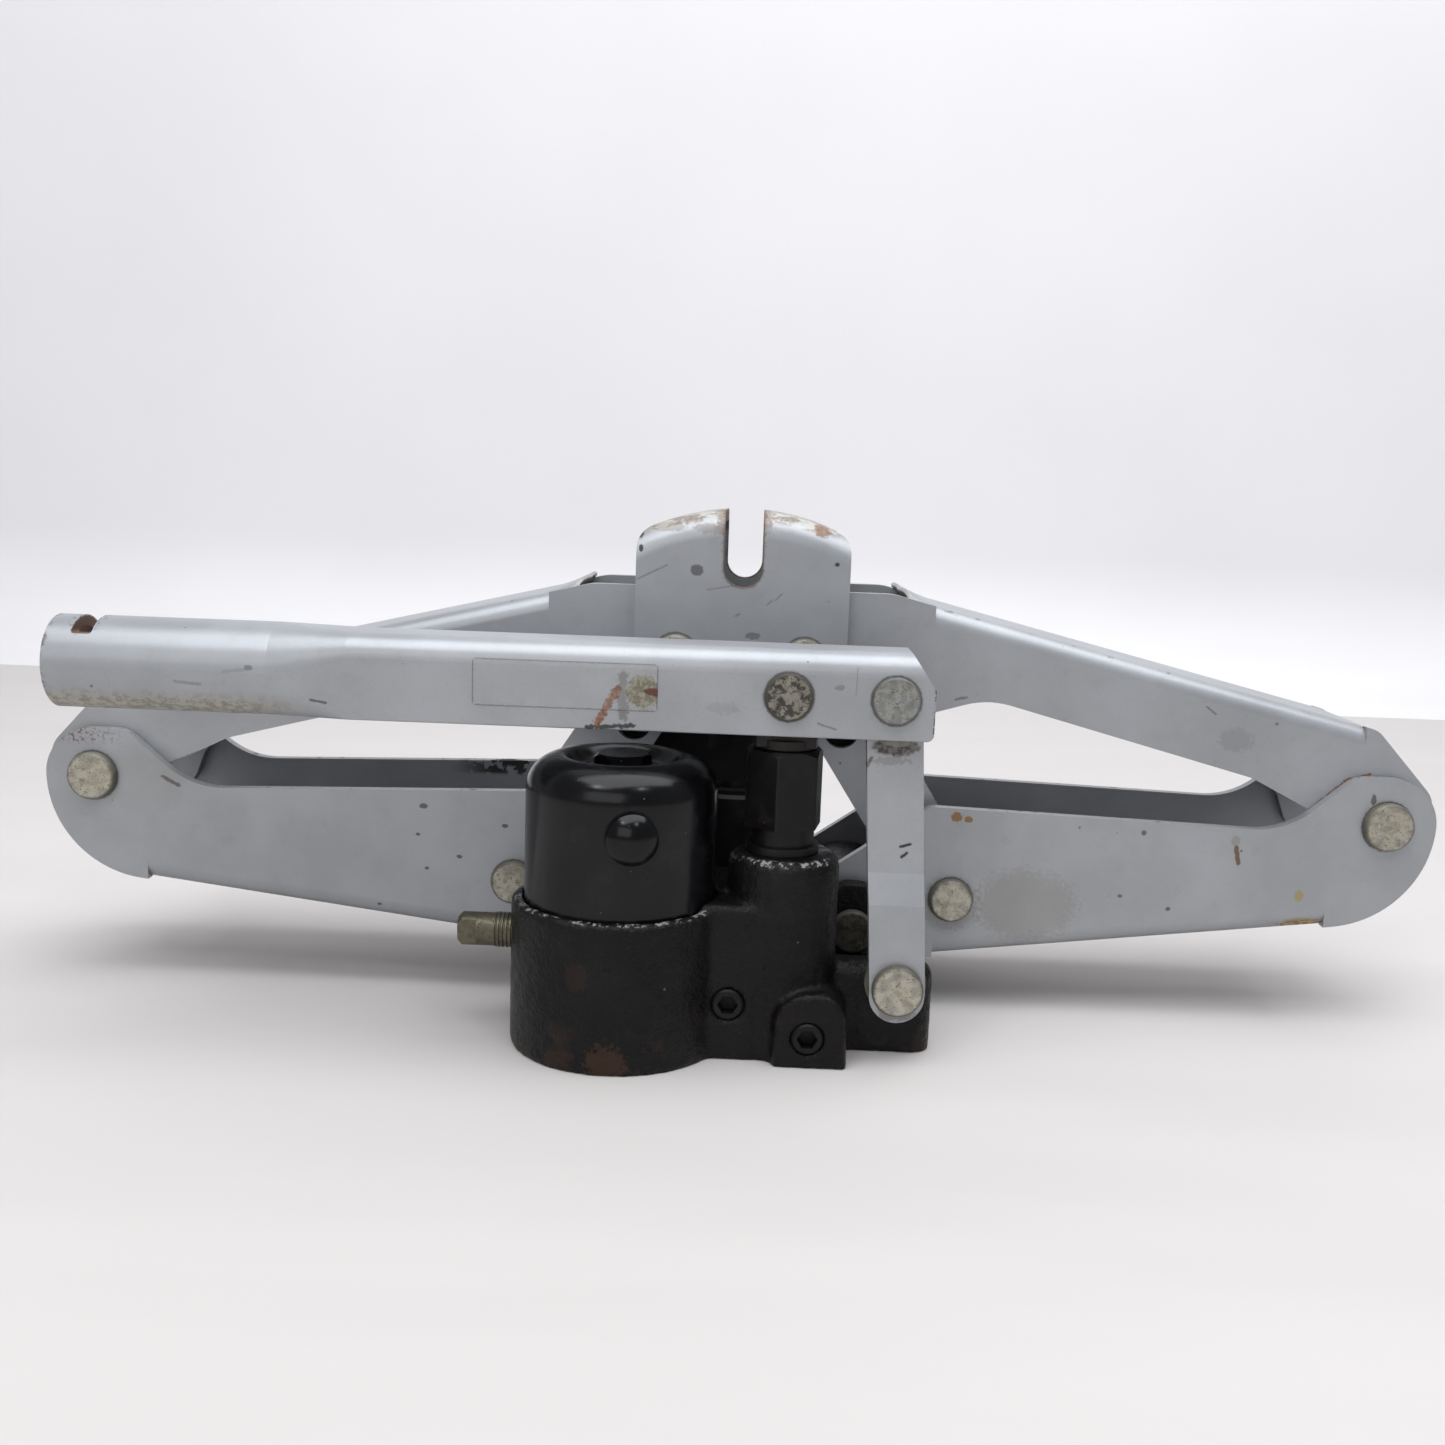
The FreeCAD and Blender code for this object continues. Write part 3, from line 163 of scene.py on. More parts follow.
class Finish:
    """A material in the making: one Principled shader and the nodes that feed it."""

    def __init__(self, name, **constants):
        self.material = bpy.data.materials.new(name)
        self.material.use_nodes = True
        self.tree = self.material.node_tree
        self.tree.nodes.clear()
        self.shader = self.tree.nodes.new("ShaderNodeBsdfPrincipled")
        out = self.tree.nodes.new("ShaderNodeOutputMaterial")
        self.tree.links.new(self.shader.outputs[0], out.inputs["Surface"])
        for socket, value in constants.items():
            self.shader.inputs[socket.replace("_", " ")].default_value = value
        place = self.node("ShaderNodeTexCoord", out="Object")
        self.mm = self.node("ShaderNodeVectorMath", {"operation": "SCALE"}, {0: place, "Scale": 1 / MM})
        self.x, self.y, self.z = self.axes(self.mm)
        facing = self.node("ShaderNodeTexCoord", out="Normal")
        self.nx, self.ny, self.nz = self.axes(facing)
        self.ragged = self.noise(0.9, 4, 0.6)

    def node(self, kind, settings=None, sockets=None, out=0):
        """Adds a node: its settings first, then its sockets, and gives one output."""
        made = self.tree.nodes.new(kind)
        for name, value in (settings or {}).items():
            setattr(made, name, value)
        for name, value in (sockets or {}).items():
            if isinstance(value, Value):
                self.tree.links.new(value.socket, made.inputs[name])
            else:
                made.inputs[name].default_value = value
        return Value(self, made.outputs[out])

    def math(self, operation, first, second=0.0):
        return self.node("ShaderNodeMath", {"operation": operation}, {0: first, 1: second})

    def axes(self, vector):
        split = self.node("ShaderNodeSeparateXYZ", None, {0: vector}).socket.node
        return [Value(self, split.outputs[k]) for k in range(3)]

    def noise(self, scale, detail=2.0, rough=0.5, stretch=(1.0, 1.0, 1.0), shift=0.0):
        """Cloudy noise about 0.5. scale is in features per millimetre."""
        where = self.mm
        if stretch != (1.0, 1.0, 1.0) or shift:
            where = self.node("ShaderNodeMapping", None,
                              {"Vector": self.mm, "Scale": stretch, "Location": (shift, shift, shift)})
        return self.node("ShaderNodeTexNoise", None,
                         {"Vector": where, "Scale": scale, "Detail": detail, "Roughness": rough})

    def step(self, value, low, high):
        """Rises smoothly from 0 at low to 1 at high."""
        return self.node("ShaderNodeMapRange", {"interpolation_type": "SMOOTHSTEP"},
                         {0: value, 1: low, 2: high, 3: 0.0, 4: 1.0})

    def fall(self, value, low, high):
        return self.node("ShaderNodeMapRange", {"interpolation_type": "SMOOTHSTEP"},
                         {0: value, 1: low, 2: high, 3: 1.0, 4: 0.0})

    def mix(self, mask, first, second):
        """Colour mix: first where mask is 0, second where it is 1."""
        pair = {0: mask}
        for key, colour in ((6, first), (7, second)):
            pair[key] = colour if isinstance(colour, Value) else (*colour, 1.0)
        return self.node("ShaderNodeMix", {"data_type": "RGBA"}, pair, 2)

    def specks(self, size, radius, share, shift=0.0):
        """Round specks: one may sit in each cell of that size, and share of the cells have one."""
        where = self.node("ShaderNodeMapping", None, {"Vector": self.mm, "Location": (shift, shift, shift)})
        cells = self.node("ShaderNodeTexVoronoi", None, {"Vector": where, "Scale": 1 / size}).socket.node
        tint = Value(self, cells.outputs["Color"])
        pick = self.node("ShaderNodeSeparateColor", None, {0: tint}).socket.node
        chosen = Value(self, pick.outputs[0]) < share
        away = Value(self, cells.outputs["Distance"]) * size
        reach = Value(self, pick.outputs[1]) * (0.7 * radius) + 0.4 * radius
        return self.fall(away + (self.ragged - 0.5) * (0.9 * radius) - reach, -0.12 * radius,
                         0.12 * radius) * chosen

    def blot(self, x, z, rx, rz, ragged=0.7):
        """A ragged patch round (x, z), seen from the front."""
        dx = (self.x - x) / rx
        dz = (self.z - z) / rz
        away = (dx * dx + dz * dz).root()
        return self.fall(away + (self.ragged - 0.5) * (2.0 * ragged), 0.75, 1.1)

    def streak(self, x0, z0, x1, z1, width, ragged=0.6):
        """A ragged line from (x0, z0) to (x1, z1)."""
        length = math.hypot(x1 - x0, z1 - z0)
        ux, uz = (x1 - x0) / length, (z1 - z0) / length
        dx, dz = self.x - x0, self.z - z0
        along = dx * ux + dz * uz
        over = (abs(along - length / 2) - length / 2).at_least(0.0)
        across = dx * uz - dz * ux
        away = (across * across + over * over).root()
        return self.fall(away / width + (self.ragged - 0.5) * (2.0 * ragged), 0.5, 1.0)

    def scratches(self, share, shift, tilt):
        """Short fine scratches, all about one way."""
        lines = self.noise(0.05, 1.0, 0.5, (1.0, 1.0 + tilt, 26.0), shift)
        breaks = self.noise(0.11, 2.0, 0.5, (1.0, 1.0, 1.0), shift + 9.0)
        return self.step(lines, 0.80 - share, 0.82 - share) * self.step(breaks, 0.56, 0.60)

    def bump(self, height, distance, strength=1.0):
        """Feeds the normal. height is in the unit of distance, in millimetres."""
        bent = self.node("ShaderNodeBump", None,
                         {"Height": height, "Distance": distance * MM, "Strength": strength})
        self.feed("Normal", bent)

    def feed(self, socket, value):
        self.tree.links.new(value.socket, self.shader.inputs[socket])


# ---- Finishes --------------------------------------------------------------------------------
def look():
    return bpy.context.scene.jack_look


def silver_paint(name, front, marks=None, edges=None, pins=()):
    """Blue-grey aluminium paint. front is the Y that the marks stay in front of.

    marks(finish) gives (mask, colour) pairs, laid on in order. edges is the Y of the sheet's two
    outer faces, so that its cut edges can be chipped. pins names the pins whose heads sit on the
    sheet: a painted shadow, a thin dark line in the gap, runs round each."""
    f = Finish(name, Specular_IOR_Level=0.5)
    cloud = f.noise(0.035, 3.0, 0.6)
    grain = f.noise(1.9, 2.0, 0.7, shift=4.0)
    blotch = f.noise(0.22, 4.0, 0.65, shift=11.0)
    base = look().paint
    dark = tuple(0.90 * c for c in base)
    light = tuple(min(1.0, 1.05 * c) for c in base)
    colour = f.mix(f.step(cloud, 0.30, 0.72), dark, light)
    colour = f.mix(f.step(grain, 0.50, 0.78) * 0.22, colour, tuple(0.62 * c for c in base))
    colour = f.mix(f.step(blotch, 0.56, 0.70) * 0.09, colour, (0.22, 0.19, 0.145))
    fine = f.specks(5.6, 0.26, 0.30)
    coarse = f.specks(19.0, 0.55, 0.30, 31.0)
    scratch = f.scratches(0.02, 3.0, 0.5)
    dots = fine.at_least(coarse)
    colour = f.mix(scratch * 0.12, colour, (0.10, 0.098, 0.095))
    colour = f.mix(dots * 0.70, colour, (0.06, 0.056, 0.052))
    flaws = dots.at_least(scratch * 0.3)
    if edges:
        near = f.step(abs(f.y), edges - 3.6, edges - 2.9)
        cut = near * f.fall(abs(f.ny), 0.35, 0.7)
        chips = cut * f.step(f.noise(0.28, 4.0, 0.7, shift=7.0), 0.59, 0.66)
        colour = f.mix(cut * 0.25, colour, (0.20, 0.18, 0.15))
        colour = f.mix(chips * 0.6, colour, f.mix(f.ragged, SOOT, BROWN))
        flaws = flaws.at_least(chips)
    # Painted shadow: a thin dark ring just outside each pin head, in the gap where the head meets the sheet.
    for pin in pins:
        low, high = span(pin)
        dx, dz = f.x - (low.x + high.x) / 2, f.z - (low.z + high.z) / 2
        gap = (dx * dx + dz * dz).root() - (high.z - low.z) / 2 + (f.ragged - 0.5) * 0.9
        colour = f.mix(f.fall(gap, 0.15, 0.75) * 0.72, colour, (0.05, 0.045, 0.04))
    if marks:
        facing = f.fall(f.y, front - 0.6, front + 0.6)
        for mask, tone, everywhere in marks(f):
            covered = mask if everywhere else mask * facing
            colour = f.mix(covered, colour, tone)
            flaws = flaws.at_least(covered)
    f.feed("Base Color", colour)
    f.feed("Metallic", look().paint_metal * (1.0 - flaws))
    f.feed("Roughness", look().paint_rough + 0.10 * (cloud - 0.5) + 0.10 * (grain - 0.5) + 0.28 * flaws)
    peel = f.noise(0.55, 2.0, 0.5, shift=2.0) * 0.5 + grain * 0.25 - flaws * 0.8
    f.bump(peel, 0.07, 0.6)
    return f.material


def cast_iron(name):
    """Black enamel over rough cast iron, with dust in its pits, rust near the floor, and a painted highlight
    along the seat and boss rims.
    """
    f = Finish(name, Specular_IOR_Level=0.20)
    coarse = f.noise(0.42, 4.0, 0.62)
    fine = f.noise(1.7, 3.0, 0.6, shift=5.0)
    cloud = f.noise(0.05, 3.0, 0.6, shift=8.0)
    base = look().casting
    colour = f.mix(f.step(cloud, 0.35, 0.7), base, tuple(1.7 * c + 0.002 for c in base))
    dust = f.step(coarse * 0.6 + fine * 0.4, 0.57, 0.68)
    colour = f.mix(dust * 0.10, colour, (0.08, 0.076, 0.072))
    colour = f.mix(f.specks(6.5, 0.34, 0.32, 3.0) * 0.55, colour, (0.16, 0.15, 0.14))
    low = f.fall(f.z + (f.ragged - 0.5) * 9.0, 3.0, 17.0)
    patch = f.step(f.noise(0.11, 4.0, 0.6, shift=14.0), 0.50, 0.64)
    in_front = f.fall(f.y, -72.0, -60.0)
    tinge = f.blot(-29.0, 3.0, 5.5, 5.0, 0.9) * 0.4
    haze = f.blot(-36.9, 25.0, 3.0, 4.0, 0.9) * 0.12
    rust = (low * patch * 0.24).at_least((tinge.at_least(haze)) * in_front)
    colour = f.mix(rust, colour, (0.085, 0.040, 0.020))
    # Painted highlight: a broken pale line along the top of the seat's rim and along the front of the boss's
    # rim, on its upward rounding.
    dx, dy = f.x - TANK_MID.x, f.y - TANK_MID.y
    ring = (dx * dx + dy * dy).root()
    crest = f.step(f.z, SEAT_TOP - 1.0, SEAT_TOP - 0.35) * f.fall(f.z, SEAT_TOP + 0.3, SEAT_TOP + 0.8)
    rim = crest * f.fall(abs(ring - SEAT_RIM_R), 0.9, 1.5)
    boss_rim_highlight = f.step(f.z, BOSS_TOP - 2.1, BOSS_TOP - 1.5) * f.fall(f.z, BOSS_TOP + 0.2, BOSS_TOP + 0.6)
    boss_rim_highlight = boss_rim_highlight * f.fall(f.y, -64.0, -61.0)
    boss_rim_highlight = boss_rim_highlight * f.step(f.nz, 0.25, 0.5) * f.fall(f.nz, 0.85, 0.97)
    broken = f.step(f.noise(0.55, 4.0, 0.7, shift=17.0), 0.50, 0.60)
    # Painted highlight on both rims, broken up by noise.
    worn = rim.at_least(boss_rim_highlight) * broken
    colour = f.mix(worn * 0.75, colour, (0.42, 0.41, 0.40))
    pits = f.specks(9.0, 0.8, 0.22, 21.0)
    f.feed("Base Color", f.mix(pits * 0.7, colour, (0.003, 0.003, 0.003)))
    f.feed("Roughness", 0.31 + 0.22 * (coarse - 0.5) + 0.30 * dust + 0.25 * rust)
    f.bump(coarse + fine * 0.45 - pits * 1.2, 0.6, 1.0)
    return f.material


def gloss_black(name, dusty=1.0):
    """Thick blue-black enamel with a slight ripple, dust and hair scratches."""
    f = Finish(name, Specular_IOR_Level=0.26)
    ripple = f.noise(0.16, 2.0, 0.5)
    cloud = f.noise(0.06, 4.0, 0.6, shift=6.0)
    dust = f.specks(3.4, 0.22, 0.5, 2.0).at_least(f.specks(9.0, 0.42, 0.4, 12.0))
    hair = f.scratches(0.03, 8.0, 0.4)
    base = look().enamel
    colour = f.mix(f.step(cloud, 0.4, 0.75) * (0.35 * dusty), base, (0.022, 0.022, 0.024))
    up = f.step(f.nz, 0.55, 0.95)
    settled = up * f.step(f.noise(0.5, 4.0, 0.65, shift=3.0), 0.40, 0.62)
    colour = f.mix(settled * (0.05 * dusty), colour, (0.06, 0.06, 0.06))
    colour = f.mix((dust * 0.5).at_least(hair * 0.25) * dusty, colour, (0.16, 0.155, 0.15))
    f.feed("Base Color", colour)
    f.feed("Roughness", 0.19 + 0.10 * f.step(cloud, 0.45, 0.8) + (0.05 * dusty) * settled + 0.30 * dust)
    f.bump(ripple + dust * 0.15, 0.16, 0.55)
    return f.material


def zinc(name, x, z, radius, tone, grime=0.4, axis="front", patches=0.25):
    """Passivated zinc on a rivet head: mottled, pitted, with dark patches and grime round its rim."""
    f = Finish(name, Specular_IOR_Level=0.5)
    mottle = f.noise(0.75, 4.0, 0.7, shift=x)
    pit = f.noise(2.1, 3.0, 0.6, shift=z)
    scale = f.noise(0.28, 3.0, 0.6, shift=x + z)
    warm = tuple(c * k for c, k in zip(tone, WARMER))
    colour = f.mix(f.step(mottle, 0.35, 0.65), tone, warm)
    colour = f.mix(f.step(scale, 0.46, 0.66) * 0.6, colour, tuple(0.62 * c for c in tone))
    if axis == "front":
        dx, dz = f.x - x, f.z - z
        away = (dx * dx + dz * dz).root()
    else:
        dy, dz = f.y - x, f.z - z
        away = (dy * dy + dz * dz).root()
    worn_off = f.step(f.noise(0.40, 4.0, 0.7, shift=x - z), 0.46, 0.56)
    colour = f.mix(worn_off * patches, colour, (0.045, 0.042, 0.040))
    holes = f.step(pit * 0.5 + mottle * 0.5, 0.56, 0.62)
    rim = f.step(away / radius + (f.ragged - 0.5) * 0.16, 0.84, 0.97) * (grime + 0.3)
    dirt = (holes * 0.75 * (0.6 + grime)).at_least(rim)
    colour = f.mix(dirt, colour, (0.075, 0.066, 0.052))
    f.feed("Base Color", colour)
    f.feed("Metallic", 0.85 - 0.55 * dirt)
    f.feed("Roughness", 0.36 + 0.16 * mottle + 0.25 * dirt)
    f.bump(mottle * 0.6 + pit * 0.3 - holes * 0.5, 0.13, 0.8)
    return f.material


def machined_steel(name, tone=(0.30, 0.29, 0.28), rough=0.30, rust=0.2):
    """Turned steel with an oil film and a little rust."""
    f = Finish(name, Metallic=0.9)
    turned = f.noise(0.12, 2.0, 0.5, (1.0, 1.0, 40.0))
    cloud = f.noise(0.09, 4.0, 0.6, shift=5.0)
    brown = f.step(cloud + (f.ragged - 0.5) * 0.35, 0.54, 0.72) * rust
    colour = f.mix(turned, tuple(0.8 * c for c in tone), tone)
    f.feed("Base Color", f.mix(brown, colour, BROWN))
    f.feed("Roughness", rough + 0.14 * cloud + 0.4 * brown)
    f.bump(turned * 0.5 + brown, 0.05, 0.6)
    return f.material


def rubber(name, tone=(0.012, 0.012, 0.012), rough=0.55):
    """Seals and wipers: dull rubber with a fine skin."""
    f = Finish(name)
    skin = f.noise(1.6, 3.0, 0.6)
    bloom = f.step(f.noise(0.2, 3.0, 0.6, shift=3.0), 0.5, 0.7)
    f.feed("Base Color", f.mix(bloom * 0.4, tone, tuple(c + 0.03 for c in tone)))
    f.feed("Roughness", rough + 0.12 * bloom + 0.1 * skin)
    f.bump(skin, 0.05, 0.6)
    return f.material


def clear_film(name):
    """Clear sticker: a faint film with a thin dirty outline and a stained right end."""
    f = Finish(name, Roughness=0.30)
    low, high = span("label")
    inset = ((f.x - low.x).at_most(high.x - f.x)).at_most((f.z - low.z).at_most(high.z - f.z))
    outline = f.fall(inset + (f.ragged - 0.5) * 0.5, 0.22, 0.5)
    middle_z = (low.z + high.z) / 2
    stain = f.blot(high.x - 3.5, middle_z - 1.0, 4.8, 4.6, 0.5)
    flakes = f.step(f.noise(0.8, 4.0, 0.7, shift=4.0), 0.44, 0.56)
    red = f.blot(high.x - 1.6, middle_z - 1.0, 2.1, 1.1, 0.6)
    colour = f.mix(flakes, (0.42, 0.39, 0.30), (0.25, 0.22, 0.15))
    colour = f.mix(1.0 - stain, colour, (0.68, 0.68, 0.67))
    colour = f.mix(outline, colour, (0.16, 0.15, 0.13))
    colour = f.mix(red, colour, (0.13, 0.048, 0.030))
    f.feed("Base Color", colour)
    faint = 0.02 + 0.03 * f.ragged
    f.feed("Alpha", faint.at_least(outline * 0.22).at_least(stain * 0.48).at_least(red * 0.85))
    f.bump(flakes * stain, 0.04, 0.4)
    return f.material


def oily_black(name, rough):
    """Blackened steel under old oil, with rusty brown stains."""
    f = Finish(name, Specular_IOR_Level=0.26)
    cloud = f.noise(0.09, 4.0, 0.6, shift=6.0)
    grain = f.noise(1.3, 3.0, 0.6)
    base = look().enamel
    colour = f.mix(f.step(cloud, 0.4, 0.7) * 0.5, base, (0.012, 0.0115, 0.011))
    stain = f.step(f.noise(0.12, 4.0, 0.65, shift=19.0), 0.60, 0.70)
    colour = f.mix(stain * 0.14, colour, (0.050, 0.020, 0.014))
    colour = f.mix(f.specks(4.2, 0.24, 0.30, 5.0) * 0.4, colour, (0.12, 0.115, 0.11))
    f.feed("Base Color", colour)
    f.feed("Roughness", rough + 0.12 * cloud + 0.15 * stain)
    f.bump(grain * 0.5 + cloud, 0.10, 0.6)
    return f.material


# ---- Marks on the silver pieces --------------------------------------------------------------
def lever_marks(f):
    rust_line = f.streak(-29.5, 95.3, -34.6, 86.3, 1.25, 1.1)
    rust_tone = f.mix(f.step(f.ragged, 0.42, 0.58), (0.13, 0.055, 0.022), ORANGE)
    smudge = f.streak(-28.4, 98.4, -28.1, 88.5, 1.7, 1.0)
    cracks = f.streak(-37.0, 85.2, -25.6, 86.0, 0.75, 1.3)
    dark_spots = f.blot(-122.2, 96.7, 1.1, 0.8, 0.9)
    dark_spots = dark_spots.at_least(f.streak(-128.5, 95.6, -123.0, 96.3, 0.5, 0.9) * 0.4)
    ticks = f.streak(20.5, 88.3, 25.0, 87.0, 0.35, 0.5)
    ticks = ticks.at_least(f.streak(29.6, 96.0, 29.7, 102.5, 0.22, 0.3) * 0.6)
    dash = f.streak(-141.0, 92.6, -134.5, 92.1, 0.55, 0.9)
    slit = f.streak(-106.5, 89.3, -102.8, 88.7, 0.45, 0.4)
    small = f.blot(25.5, 97.5, 1.3, 0.7, 0.8)
    scuff = f.blot(-3.3, 91.3, 5.0, 1.6, 1.1) * 0.16
    under = f.fall(f.z + (f.ragged - 0.5) * 3.0, 86.2, 91.0)
    socket_end = f.fall(f.x, -128.0, -104.0)
    grime = f.step(f.noise(0.45, 4.0, 0.7, shift=6.0), 0.44, 0.58)
    beige = under * socket_end
    dy, dz = f.y - LEVER_MID.y, f.z - 95.4
    inside = f.fall((dy * dy + dz * dz).root(), 11.45, 11.75) * f.fall(f.x, -119.0, -117.0)
    by_notch = f.blot(-165.6, 106.5, 5.6, 3.6, 0.9) * f.step(f.ragged, 0.52, 0.60)
    right_edge = f.step(f.x, 48.9, 49.25) * f.step(f.noise(0.5, 3.0, 0.6, shift=1.0), 0.47, 0.53)
    left_edge = f.fall(f.x, -174.5, -173.4) * f.step(f.noise(0.35, 4.0, 0.7, shift=2.0), 0.52, 0.60)
    left_dots = f.specks(3.6, 0.55, 0.35, 41.0) * f.fall(f.x, -165.0, -158.0)
    return [
        (beige * 0.45, (0.40, 0.35, 0.24), True),
        (beige * grime * 0.50, (0.12, 0.10, 0.07), True),
        (scuff, (0.14, 0.12, 0.10), False),
        (left_dots * 0.8, SOOT, True),
        (dark_spots * 0.55, (0.07, 0.06, 0.055), False),
        (dash * 0.4, (0.16, 0.11, 0.07), False),
        (slit * 0.7, SOOT, False),
        (ticks * 0.5, (0.07, 0.065, 0.06), False),
        (small * 0.5, (0.11, 0.10, 0.09), False),
        (smudge * 0.55, (0.09, 0.075, 0.06), False),
        (cracks * 0.9, SOOT, False),
        (rust_line * 0.85, rust_tone, False),
        (by_notch * 0.85, BROWN, True),
        (inside * 0.92, f.mix(f.ragged, BROWN, (0.17, 0.075, 0.035)), True),
        (right_edge * 0.9, SOOT, True),
        (left_edge * 0.7, BROWN, True),
    ]


def saddle_marks(f):
    dimple = f.blot(-12.7, 122.6, 1.9, 1.7, 0.35)
    lines = f.streak(-29.0, 119.6, -21.0, 123.7, 0.32, 0.5)
    lines = lines.at_least(f.streak(-9.8, 117.2, 2.0, 119.6, 0.26, 0.5))
    lines = lines.at_least(f.streak(9.2, 115.1, 11.0, 116.9, 0.3, 0.4))
    lines = lines.at_least(f.streak(7.0, 113.8, 8.4, 115.0, 0.3, 0.4))
    lines = lines.at_least(f.streak(-1.5, 110.4, -0.6, 110.9, 0.4, 0.4))
    low_dark = f.blot(3.4, 104.9, 2.2, 1.1, 0.7)
    left_dots = f.blot(-28.3, 128.1, 0.7, 1.0, 0.6).at_least(f.blot(-28.6, 132.2, 0.9, 1.4, 0.9))
    right_dots = f.blot(25.8, 125.5, 0.7, 0.6, 0.4)
    crown = f.step(f.nz, 0.50, 0.80) * f.step(f.z, 131.5, 134.5)
    wear = f.noise(0.16, 5.0, 0.68, shift=23.0)
    bare = crown * f.step(wear, 0.44, 0.50)
    rusty = crown * f.step(f.noise(0.22, 5.0, 0.7, shift=29.0), 0.47, 0.54)
    rust_tone = f.mix(f.step(f.ragged, 0.40, 0.60), (0.09, 0.050, 0.032), (0.25, 0.18, 0.13))
    slot_x = abs(f.x)
    round_z = (f.z - SLOT_Z).at_most(0.0)
    off_slot = (slot_x * slot_x + round_z * round_z).root() - SLOT_R
    slot_wall = f.fall(off_slot, 0.10, 0.35) * f.step(f.z, 116.0, 117.0)
    slot_edge = f.fall(off_slot + (f.ragged - 0.5) * 2.6, 0.15, 0.9) * f.step(f.z, 117.0, 119.0)
    slot_top = f.fall(off_slot + (f.ragged - 0.5) * 5.0, 1.2, 3.2) * f.step(f.z, 131.5, 135.5)
    blob = f.blot(21.4, 134.6, 2.3, 2.2, 0.8)
    smears = f.blot(-21.0, 134.4, 5.5, 1.3, 1.2).at_least(f.blot(-9.5, 134.0, 4.5, 1.6, 1.2))
    return [
        (lines * 0.42, (0.07, 0.068, 0.065), False),
        (dimple * 0.72, (0.045, 0.045, 0.048), False),
        (low_dark * 0.6, (0.06, 0.06, 0.06), False),
        (left_dots.at_least(right_dots) * 0.9, SOOT, False),
        (bare * 0.62, BARE, True),
        (rusty * 0.65, rust_tone, True),
        (smears * 0.35, (0.20, 0.14, 0.09), False),
        (slot_edge * 0.55, (0.12, 0.085, 0.06), True),
        (slot_wall * 0.85, f.mix(f.ragged, (0.07, 0.045, 0.03), (0.20, 0.13, 0.09)), True),
        (slot_top * 0.5, (0.14, 0.08, 0.05), True),
        (blob * 0.7, (0.19, 0.085, 0.035), False),
    ]


def link_marks(f):
    scuff = f.blot(40.4, 82.7, 6.2, 2.6, 0.35)
    grit = f.step(f.noise(0.9, 3.0, 0.6, shift=12.0), 0.42, 0.62)
    scuff_tone = f.mix(grit, (0.035, 0.030, 0.026), (0.16, 0.14, 0.12))
    core = f.blot(40.9, 83.6, 3.8, 1.0, 0.35)
    rub = f.blot(39.0, 79.0, 5.0, 1.2, 1.2) * 0.3
    ticks = f.streak(43.0, 57.0, 45.4, 57.7, 0.5, 0.4).at_least(f.streak(43.4, 54.3, 44.6, 55.4, 0.5, 0.6))
    foot = f.blot(43.9, 13.4, 5.2, 2.2, 0.8) * 0.45
    top_rust = f.streak(33.5, 77.5, 34.4, 79.6, 0.5, 0.6)
    return [
        (scuff * 0.92, scuff_tone, False),
        (core * 0.6, (0.30, 0.28, 0.25), False),
        (rub, (0.12, 0.09, 0.06), False),
        (ticks * 0.95, SOOT, False),
        (top_rust * 0.7, BROWN, False),
        (foot, (0.13, 0.10, 0.075), False),
    ]


def right_lower_marks(f):
    rust_dots = f.blot(62.8, 56.0, 1.7, 1.5, 0.5).at_least(f.blot(66.2, 55.4, 1.3, 1.0, 0.5))
    drop = f.streak(141.6, 50.5, 142.5, 46.0, 0.85, 0.6)
    drop_head = f.blot(141.3, 52.4, 1.4, 1.5, 0.5)
    ochre = f.blot(160.4, 37.2, 1.4, 1.8, 0.35)
    ochre = ochre.at_least(f.blot(162.3, 29.2, 5.6, 1.6, 0.5))
    row = f.specks(4.0, 0.55, 0.5, 51.0) * f.fall(abs(f.z - 53.6), 1.5, 3.2) * f.fall(f.x, 100.0, 120.0)
    spots = f.blot(115.5, 53.6, 0.8, 0.8, 0.3).at_least(f.blot(124.0, 31.8, 0.8, 0.6, 0.3))
    spots = spots.at_least(f.blot(110.2, 35.0, 0.7, 0.5, 0.3)).at_least(f.blot(178.4, 65.6, 0.8, 1.6, 0.6))
    haze = f.blot(84.0, 31.0, 15.0, 11.0, 0.6) * 0.26
    pin_grime = f.blot(62.4, 30.6, 9.0, 8.5, 0.5) * 0.22
    edge = f.step(f.x, 150.0, 158.0) * f.fall(f.nz, -0.7, -0.35) * f.step(f.ragged, 0.47, 0.55)
    return [
        (haze, (0.20, 0.15, 0.095), False),
        (pin_grime, (0.12, 0.10, 0.08), False),
        (row * 0.6, (0.06, 0.05, 0.04), False),
        (spots * 0.85, (0.075, 0.07, 0.07), False),
        (drop_head * 0.55, (0.20, 0.20, 0.17), False),
        (drop * 0.9, (0.13, 0.06, 0.03), False),
        (rust_dots * 0.92, (0.26, 0.125, 0.035), False),
        (ochre * 0.85, OCHRE, False),
        (edge * 0.85, (0.14, 0.06, 0.028), True),
    ]


